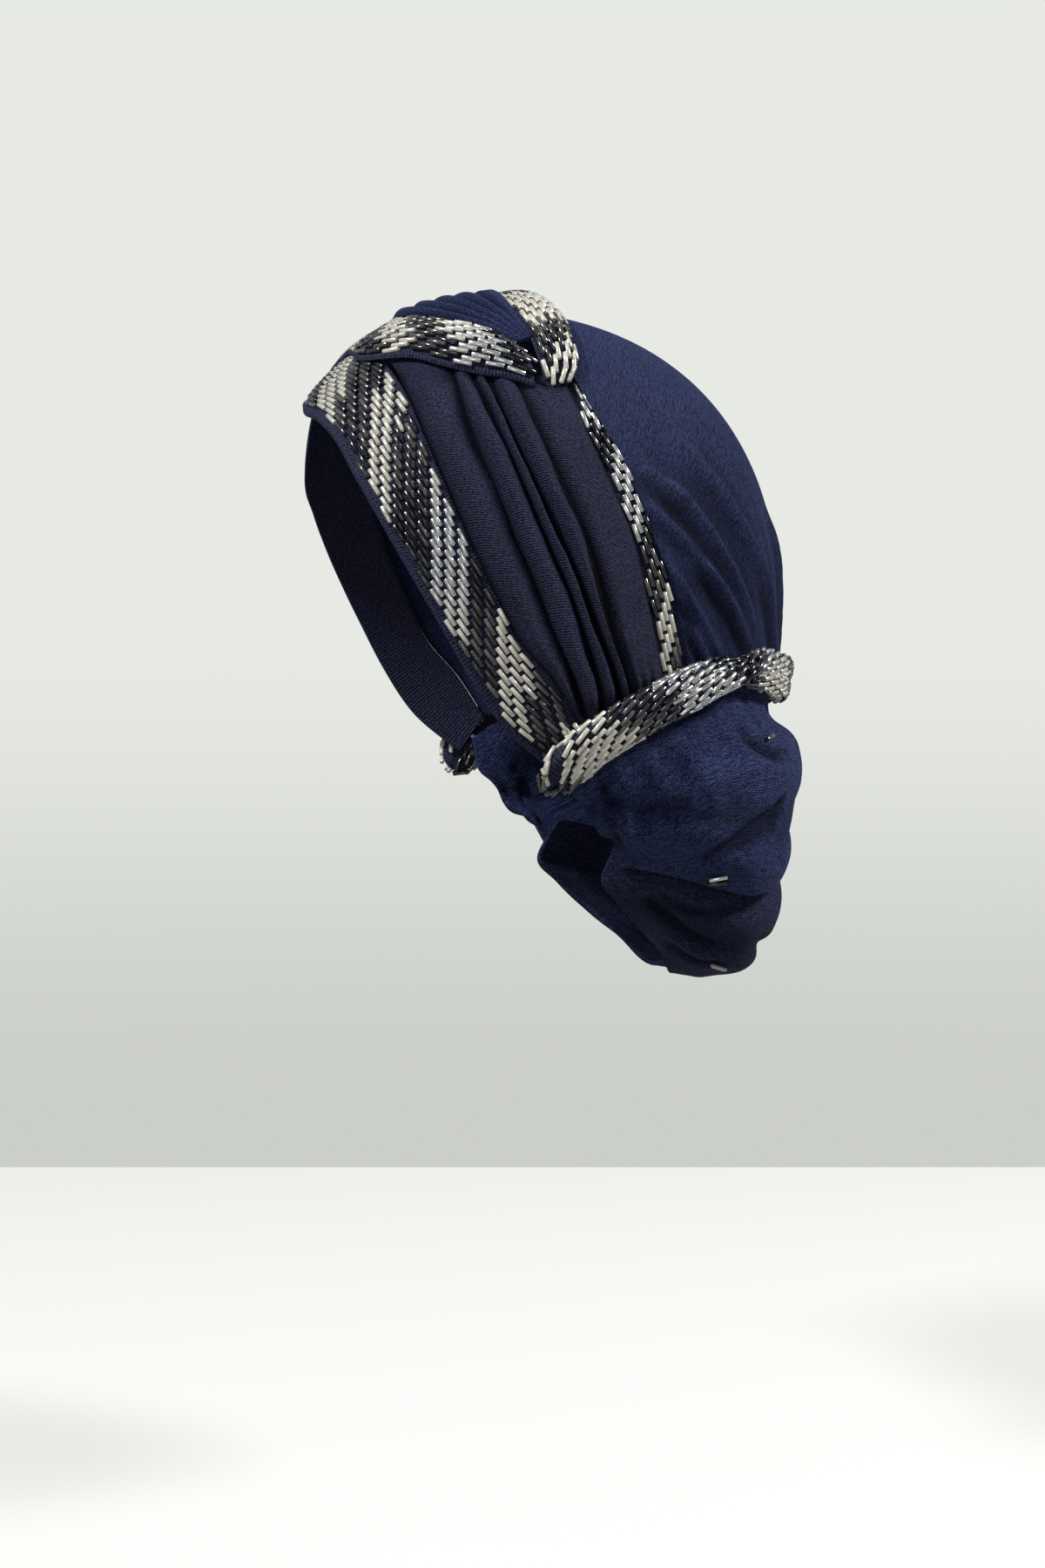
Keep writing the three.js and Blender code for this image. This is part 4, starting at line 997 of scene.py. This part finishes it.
def makeTie(name):
    both = {}
    for key in ("lift", "rest", "tall", "thick"):
        half = tieBand[key]
        both[key] = np.array(half + half[:-1][::-1], float)
    both["turn"] = np.array(tieBand["turn"] + [360 - t for t in tieBand["turn"][:-1][::-1]], float)
    at = np.array(tieBand["at"], float)
    at = np.concatenate([at, (at * (-1, 1, 1))[:-1][::-1]])
    v = np.linspace(0, 1, tieBand["along"])
    scale, shift = np.ones(len(v)), np.zeros(len(v))
    for share, distance in reversed(tieBand["ends"]):
        v = np.append(np.insert(v, 0, 0), 1)
        scale = np.append(np.insert(scale, 0, share), share)
        shift = np.append(np.insert(shift, 0, -distance), distance)

    def centreLine(shares):
        return onHead(column(at, shares), column(both["lift"], shares))

    centre = centreLine(v)
    ahead = centreLine(np.minimum(v + tieBand["step"], 1)) - centreLine(np.maximum(v - tieBand["step"], 0))
    ahead /= np.linalg.norm(ahead, axis=1, keepdims=True)
    out = centre - headMiddle
    out -= ahead * (out * ahead).sum(1, keepdims=True)
    out /= np.linalg.norm(out, axis=1, keepdims=True)
    down = np.cross(ahead, out)
    centre = centre + ahead * shift[:, None]
    turn = np.radians(column(both["turn"], v))[:, None]
    # the section starts at its innermost line, where the band's two edges meet
    angle = np.linspace(0, 2 * np.pi, tieBand["around"] + 1)[None, :] - np.pi / 2
    angle = angle - turn
    walked = v[:, None] * tieBand["length"]
    crease = np.mod(angle + turn - 0.9 + 0.25 * np.sin(walked / 23), 2 * np.pi) - np.pi
    fold = 1 - tieBand["crease"] * np.exp(-(crease / 0.25) ** 2)
    lumps = 1 + tieBand["lumps"] * wander(walked / 11, walked / 6 + 2 * angle, angle * 2 + walked / 17)
    tall = (scale * column(both["tall"], v) / 2)[:, None] * fold
    thick = (scale * column(both["thick"], v) / 2)[:, None] * fold * lumps
    power = tieBand["roundness"]
    side = tall * np.sign(np.cos(angle)) * np.abs(np.cos(angle)) ** power
    face = thick * np.sign(np.sin(angle)) * np.abs(np.sin(angle)) ** power
    low = side * np.cos(turn) - face * np.sin(turn)
    far = side * np.sin(turn) + face * np.cos(turn)
    place = centre[:, None] + down[:, None] * low[..., None] + out[:, None] * far[..., None]
    floor = onHead(place, column(both["rest"], v)[:, None] + 0 * low)
    above = np.linalg.norm(place - headMiddle, axis=-1) > np.linalg.norm(floor - headMiddle, axis=-1)
    place = np.where(above[..., None], place, floor)
    middle = place[:, :-1].mean(1, keepdims=True)
    outwards = place - middle
    outwards /= np.linalg.norm(outwards, axis=-1, keepdims=True) + 1e-9
    under = np.where(above, 2 * bandLook["beadRadius"] - tieBand["underBeads"], 0)[..., None]
    core = place - outwards * under
    around = spans(place, 1)
    along = np.repeat(spans(place, 0).mean(1, keepdims=True), place.shape[1], 1)
    # closed tube: rings joined round, a cap at each end
    rings, sides = core.shape[0], core.shape[1] - 1
    caps = [core[end, :-1].mean(0)[None] for end in (0, -1)]
    verts = np.concatenate([core[:, :-1].reshape(-1, 3)] + caps)
    faces = []
    for r in range(rings - 1):
        for k in range(sides):
            n = (k + 1) % sides
            faces.append((r * sides + k, r * sides + n, (r + 1) * sides + n, (r + 1) * sides + k))
    for k in range(sides):
        n = (k + 1) % sides
        faces.append((rings * sides, n, k))
        faces.append((rings * sides + 1, (rings - 1) * sides + k, (rings - 1) * sides + n))
    mesh = bpy.data.meshes.new(name)
    mesh.from_pydata([tuple(p) for p in verts * mm], [], faces)
    layer = mesh.uv_layers.new(name="cloth")
    flat = np.stack([around[:, :-1], along[:, :-1]], -1).reshape(-1, 2) * mm
    flat = np.concatenate([flat, flat[:1], flat[-1:]])
    corners = np.empty(len(mesh.loops), np.int32)
    mesh.loops.foreach_get("vertex_index", corners)
    layer.data.foreach_set("uv", flat[corners].ravel().astype(np.float32))
    smoothed(mesh)
    cloth = addPiece(name, mesh)
    slant, level = tieBand["stripeSlant"]
    tone = stripeTone([edge - slant * (around - level) for edge in tieBand["stripes"]], along)
    starts, shines, dims, ends = tieBand["glitterAt"]
    glitter = ease(starts, shines, along) * (1 - ease(dims, ends, along))
    part = (slice(1, -1), slice(3, -3))
    below = place - outwards * (2 * bandLook["beadRadius"] - tieBand["beadSink"])
    surface = gridMesh(name + "Surface", below[part], None, np.stack([along, around], -1)[part],
                       {"ahead": directions(place)[part], "tone": tone[part], "glitter": glitter[part]})
    asKnit(cloth, "tie_band", hemCloth)
    rows = rowsOver(tieBand, float(along.max()), float(around.max()), tieBand["seed"])
    beads = strung(name + "_beads", surface, rows)


makeTie("tieBand")
print("tie ready")

# the nape bag and the tail layer below it
pouch = {"raised": (2.2, -0.6), "balance": 0.4, "endAngle": 122, "across": 190, "down": 120, "wall": 1.2,
         "innerSink": 0.5, "deepFrom": -0.6, "shadeFromDepth": 2.6, "shadeStrength": 0.8}
bagRows = {"wide": (83, 84, 82, 76, 69, 64, 60.5), "back": (125, 127.5, 128, 127.5, 126, 124.5, 120.5),
           "front": (18, 22, 27, 33, 37, 40, 43),
           "heights": [(-165, -172, -191), (-175, -184, -196), (-188, -198, -202), (-201, -213, -207),
                       (-210, -225, -214), (-215, -231, -218), (-210, -227, -215)]}
tailRows = {"wide": (54, 56.8, 57, 53, 45, 36, 26, 15, 6),
            "back": (115, 119, 124, 123, 119, 111, 102, 91, 85),
            "front": (42, 37.5, 34, 42, 54, 63, 70, 75, 79),
            "heights": [(-202, -216, -206), (-210.5, -225.5, -214.5), (-225, -237, -225),
                        (-240, -248, -235), (-252, -258, -245), (-261, -264, -255), (-267, -268, -263),
                        (-268.5, -269, -267), (-265, -265, -265)]}


def pouchGrid(rows, lines):
    u = np.linspace(0, 1, pouch["across"])
    v = np.linspace(0, 1, pouch["down"])
    degrees = pouch["endAngle"] * (1 - 2 * u)
    angle = np.radians(degrees)
    endCosine = math.cos(math.radians(pouch["endAngle"]))
    levels = []
    for line, raised in zip(lines, pouch["raised"]):
        levels.append(alongLine(line, u) + (0, 0, raised))
    for wide, back, front, heights in zip(rows["wide"], rows["back"], rows["front"], rows["heights"]):
        centre = front + (back - front) * pouch["balance"]
        reach = np.where(np.cos(angle) > 0, back - centre, (front - centre) / endCosine)
        z = column(np.array(heights, float), np.abs(degrees) / pouch["endAngle"])
        levels.append(np.stack([wide * np.sin(angle), centre + reach * np.cos(angle), z], -1))
    levels = np.stack(levels)
    smooth = column(levels.reshape(len(levels), -1), v).reshape(len(v), len(u), 3)
    facing = np.cross(np.gradient(smooth, axis=0), np.gradient(smooth, axis=1))
    facing /= np.linalg.norm(facing, axis=-1, keepdims=True) + 1e-9
    if (facing * (smooth - smooth.mean((0, 1)))).sum() < 0:
        facing = -facing
    return smooth, facing, u[None, :], v[:, None]


bagSwags = {"foldGain": 2.3, "depth": 1.7, "count": 2.5, "sag": 3, "crush": 0.35, "pleats": 0.4}
tailSwags = {"foldGain": 2.2, "depth": 1.3, "count": 3, "sag": 2, "crush": 0.3, "pleats": 0}
bagFolds = [
    {"line": [(0.31, 0.47), (0.24, 0.53), (0.17, 0.60), (0.09, 0.69)], "tall": -1.6, "wide": 4.5},
    {"line": [(0.046, 0.33), (0.036, 0.48), (0.018, 0.74)], "tall": 1.6, "wide": 3.4},
    {"line": [(0.024, 0.38), (0.016, 0.52), (0.01, 0.68)], "tall": -1.1, "wide": 2.6},
    {"line": [(0.17, 0.15), (0.15, 0.30), (0.138, 0.48)], "tall": 0.9, "wide": 7.0},
    {"line": [(0.235, 0.17), (0.26, 0.24), (0.29, 0.29), (0.34, 0.30)], "tall": -1.4, "wide": 3.4},
    {"line": [(0.305, 0.45), (0.285, 0.50), (0.265, 0.55)], "tall": -1.6, "wide": 3.0},
    {"line": [(0.05, 0.15), (0.034, 0.23), (0.045, 0.32)], "tall": -0.9, "wide": 3.2},
    {"line": [(0.42, 0.20), (0.44, 0.38), (0.41, 0.55)], "tall": 0.9, "wide": 6.0},
    {"line": [(0.50, 0.50), (0.43, 0.60), (0.34, 0.66)], "tall": -1.2, "wide": 4.5},
]
tailFolds = [
    {"line": [(0.055, 0.24), (0.066, 0.38), (0.095, 0.48), (0.18, 0.50)], "tall": -1.5, "wide": 3.4},
    {"line": [(0.03, 0.50), (0.06, 0.60), (0.12, 0.64), (0.21, 0.55)], "tall": -1.3, "wide": 3.2},
    {"line": [(0.07, 0.20), (0.12, 0.31), (0.25, 0.21)], "tall": -0.9, "wide": 3.4},
    {"line": [(0.28, 0.40), (0.38, 0.52), (0.50, 0.56)], "tall": -1.2, "wide": 4.0},
]


# the thread through a loose bead: how far it reaches, and its three-sided section
beadThread = {"reach": 5.0, "section": ((0.15, -0.6), (-0.15, -0.6), (0, -0.3)), "above": 0.15,
              "faces": ((0, 1, 2), (3, 5, 4), (0, 3, 4, 1), (1, 4, 5, 2), (2, 5, 3, 0))}


def looseBeads(name, outer, facing, strays):
    # single beads left on the cloth, each with its thread, at shares across and down the grid
    rows, cols = outer.shape[:2]
    shape = beadShape.data
    spots = np.array([v.co for v in shape.vertices]) / mm
    sides = [tuple(f.vertices) for f in shape.polygons]
    verts, faces, tone, glitter = [], [], [], []
    for (u, v), turn, pale, silver in strays:
        j, i = int(v * (rows - 1)), int(u * (cols - 1))
        across = outer[j, i + 2] - outer[j, i - 2]
        down = outer[j + 2, i] - outer[j - 2, i]
        across, down = across / np.linalg.norm(across), down / np.linalg.norm(down)
        along = across * math.cos(math.radians(turn)) - down * math.sin(math.radians(turn))
        up = facing[j, i]
        along = along - up * along.dot(up)
        along /= np.linalg.norm(along)
        side = np.cross(up, along)
        centre = outer[j, i] + up * (bugleBead["radius"] + beadThread["above"])
        placed = centre + spots[:, :1] * side + spots[:, 1:2] * up + spots[:, 2:] * along
        thread = [centre + side * x + up * y + along * z
                  for z in (-beadThread["reach"], beadThread["reach"]) for x, y in beadThread["section"]]
        for start, shapes in ((len(verts), sides), (len(verts) + len(placed), beadThread["faces"])):
            faces += [tuple(start + k for k in f) for f in shapes]
        verts += [tuple(p * mm) for p in placed] + [tuple(p * mm) for p in thread]
        tone += [pale] * len(placed) + [0.0] * len(thread)
        glitter += [silver] * len(placed) + [0.0] * len(thread)
    mesh = bpy.data.meshes.new(name)
    mesh.from_pydata(verts, [], faces)
    for key, values in (("tone", tone), ("glitter", glitter)):
        mesh.attributes.new(key, "FLOAT", "POINT").data.foreach_set("value", values)
    smoothed(mesh, bugleBead["sharpAngle"])
    beads = addPiece(name, mesh)
    beads.data.materials.append(beadFinish)
    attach(beads, "root")
    return beads


def makePouch(name, rows, lines, swags, folds, strays, cloth, node):
    smooth, facing, u, v = pouchGrid(rows, lines)
    body = np.sin(np.pi * v)
    swag = np.cos(2 * np.pi * (swags["count"] * v + swags["sag"] * (u - 0.5) ** 2))
    swag = swags["depth"] * swag * body ** 2
    crush = wander(u * 23 + v * 9, u * 11 - v * 17, v * 13 + 3 * np.sin(u * 15))
    crush = swags["crush"] * crush * body ** 0.6
    pleats = np.cos(u * 150 + 4 * np.sin(v * 6)) * (1 - ease(0.12, 0.45, v)) * ease(0.05, 0.12, v)
    pleats = swags["pleats"] * pleats
    folded = swags["foldGain"] * foldHeights(smooth, folds, mirrored=True)
    depth = swag + crush + (pleats + folded) * ease(0, 0.04, np.minimum(v, 1 - v))
    outer = smooth + facing * depth[..., None]
    inner = np.minimum(depth, 0.4) * 0.5 - pouch["wall"] - pouch["innerSink"]
    inner = np.where(depth < pouch["deepFrom"], depth - pouch["wall"], inner)
    inner = smooth + facing * inner[..., None]
    uv = np.stack([spans(outer, 1), spans(outer, 0)], -1)
    # painted shade in the valleys of the swags and folds, darker where the valley is deeper
    paintedShade = np.clip(-depth / pouch["shadeFromDepth"], 0, 1) * pouch["shadeStrength"]
    piece = addPiece(name, gridMesh(name, outer, inner, uv, {"paintedShade": paintedShade}))
    asKnit(piece, node, cloth)
    loose = looseBeads(name + "_beads", outer, facing, strays)


bagStrays = [((0.153, 0.748), 28, 1.0, 1.0), ((0.15, 0.79), 24, 0.0, 0.2), ((0.296, 0.235), 6, 0.1, 0.3)]
tailStrays = [((0.185, 0.62), 2, 0.55, 0.3)]
makePouch("napeBag", bagRows, [rim, hem], bagSwags, bagFolds, bagStrays, bagLitCloth, "nape_bag")
makePouch("tailFold", tailRows, [], tailSwags, tailFolds, tailStrays, tailShadedCloth, "tail_fold")
print("bag and tail ready")

bpy.data.objects.remove(beadShape)

# camera, floor and light
view = {"azimuth": 75, "pitch": math.degrees(math.atan(200 / 3300)), "distance": 1.19, "lens": 66,
        "toTheRight": 0.01368, "height": -0.1154, "sensor": (24, 36), "clip": (0.05, 30)}


def placeCamera():
    turn, tip = math.radians(view["azimuth"]), math.radians(view["pitch"])
    back = np.array([math.sin(turn), -math.cos(turn), 0])
    right = np.array([math.cos(turn), math.sin(turn), 0])
    forward = -back * math.cos(tip) + np.array([0, 0, -math.sin(tip)])
    up = np.cross(right, forward)
    spot = back * view["distance"] + right * view["toTheRight"]
    spot[2] = view["height"]
    lens = bpy.data.cameras.new("camera")
    lens.sensor_fit = "VERTICAL"
    lens.sensor_width, lens.sensor_height = view["sensor"]
    lens.lens = view["lens"]
    lens.clip_start, lens.clip_end = view["clip"]
    camera = bpy.data.objects.new("camera", lens)
    bpy.context.scene.collection.objects.link(camera)
    rotation = mathutils.Matrix((right, up, -forward)).transposed()
    camera.matrix_world = mathutils.Matrix.Translation(spot) @ rotation.to_4x4()
    bpy.context.scene.camera = camera


placeCamera()

# a pale table top, with its far edge square to the camera
stage = {"drop": 0.48, "wide": 4.0, "behind": 0.675, "ahead": 2.5, "paint": 0.3, "roughness": 0.9,
         "glow": (0.80, 0.81, 0.77), "glowStrength": 0.72}


def makeFloor(name):
    turn, half = math.radians(view["azimuth"]), stage["wide"] / 2
    toCamera = np.array([math.sin(turn), -math.cos(turn), 0])
    toRight = np.array([math.cos(turn), math.sin(turn), 0])
    mesh = bpy.data.meshes.new(name)
    places = [(stage["ahead"], -half), (stage["ahead"], half), (-stage["behind"], half),
              (-stage["behind"], -half)]
    corners = [toCamera * ahead + toRight * aside - (0, 0, stage["drop"]) for ahead, aside in places]
    mesh.from_pydata([tuple(corner) for corner in corners], [], [(0, 1, 2, 3)])
    paint, tree, shader = newMaterial("floorPaint")
    shader.inputs["Base Color"].default_value = (stage["paint"], stage["paint"], stage["paint"], 1)
    shader.inputs["Roughness"].default_value = stage["roughness"]
    shader.inputs["Specular IOR Level"].default_value = 0.0
    shader.inputs["Emission Color"].default_value = (*stage["glow"], 1)
    # it glows for the camera alone, so that it looks pale without lighting the cloth
    seenBy = tree.nodes.new("ShaderNodeLightPath")
    glow = mathNode(tree, "MULTIPLY", seenBy.outputs["Is Camera Ray"], stage["glowStrength"])
    tree.links.new(glow, shader.inputs["Emission Strength"])
    mesh.materials.append(paint)
    addPiece(name, mesh)


makeFloor("floor")

# the light that the room gives, and the wall that the camera sees, which dims a little towards the table
room = {"wall": (0.80, 0.825, 0.775), "wallLow": (0.60, 0.62, 0.585), "dims": (-0.17, 0.0),
        "light": (0.80, 0.86, 0.95), "lightStrength": 0.05, "shineStrength": 0.3}


def makeRoom(name):
    world = bpy.data.worlds.new(name)
    world.use_nodes = True
    tree = world.node_tree
    lit = tree.nodes["Background"]
    lit.inputs["Color"].default_value = (*room["light"], 1)
    seen = tree.nodes.new("ShaderNodeBackground")
    way = tree.nodes.new("ShaderNodeTexCoord")
    wayXyz = tree.nodes.new("ShaderNodeSeparateXYZ")
    tree.links.new(way.outputs["Generated"], wayXyz.inputs[0])
    high = tree.nodes.new("ShaderNodeMapRange")
    high.interpolation_type = "SMOOTHSTEP"
    high.inputs["From Min"].default_value, high.inputs["From Max"].default_value = room["dims"]
    tree.links.new(wayXyz.outputs["Z"], high.inputs["Value"])
    tree.links.new(mixNode(tree, high.outputs["Result"], room["wallLow"], room["wall"]),
                   seen.inputs["Color"])
    rays = tree.nodes.new("ShaderNodeLightPath")
    shine = mathNode(tree, "MULTIPLY_ADD", rays.outputs["Is Glossy Ray"],
                     room["shineStrength"] - room["lightStrength"], room["lightStrength"])
    tree.links.new(shine, lit.inputs["Strength"])
    choose = tree.nodes.new("ShaderNodeMixShader")
    tree.links.new(rays.outputs["Is Camera Ray"], choose.inputs["Fac"])
    tree.links.new(lit.outputs[0], choose.inputs[1])
    tree.links.new(seen.outputs[0], choose.inputs[2])
    tree.links.new(choose.outputs[0], tree.nodes["World Output"].inputs["Surface"])
    bpy.context.scene.world = world


makeRoom("studio")
bpy.context.scene.view_settings.view_transform = "Standard"


def softLight(name, spot, aim, size, power):
    lamp = bpy.data.lights.new(name, "AREA")
    lamp.shape, lamp.size, lamp.energy = "SQUARE", size, power
    light = bpy.data.objects.new(name, lamp)
    bpy.context.scene.collection.objects.link(light)
    way = mathutils.Vector(aim) - mathutils.Vector(spot)
    light.location = spot
    light.rotation_euler = way.to_track_quat("-Z", "Y").to_euler()


softLight("key", (0.4, -1.1, 1.15), (0, 0, -0.12), 0.35, 34)
softLight("back", (0.4, 1.25, 0.85), (0, 0, -0.12), 0.3, 31)
softLight("side", (1.45, -0.55, 0.1), (0, 0, -0.14), 0.8, 4)
print("camera and light ready")
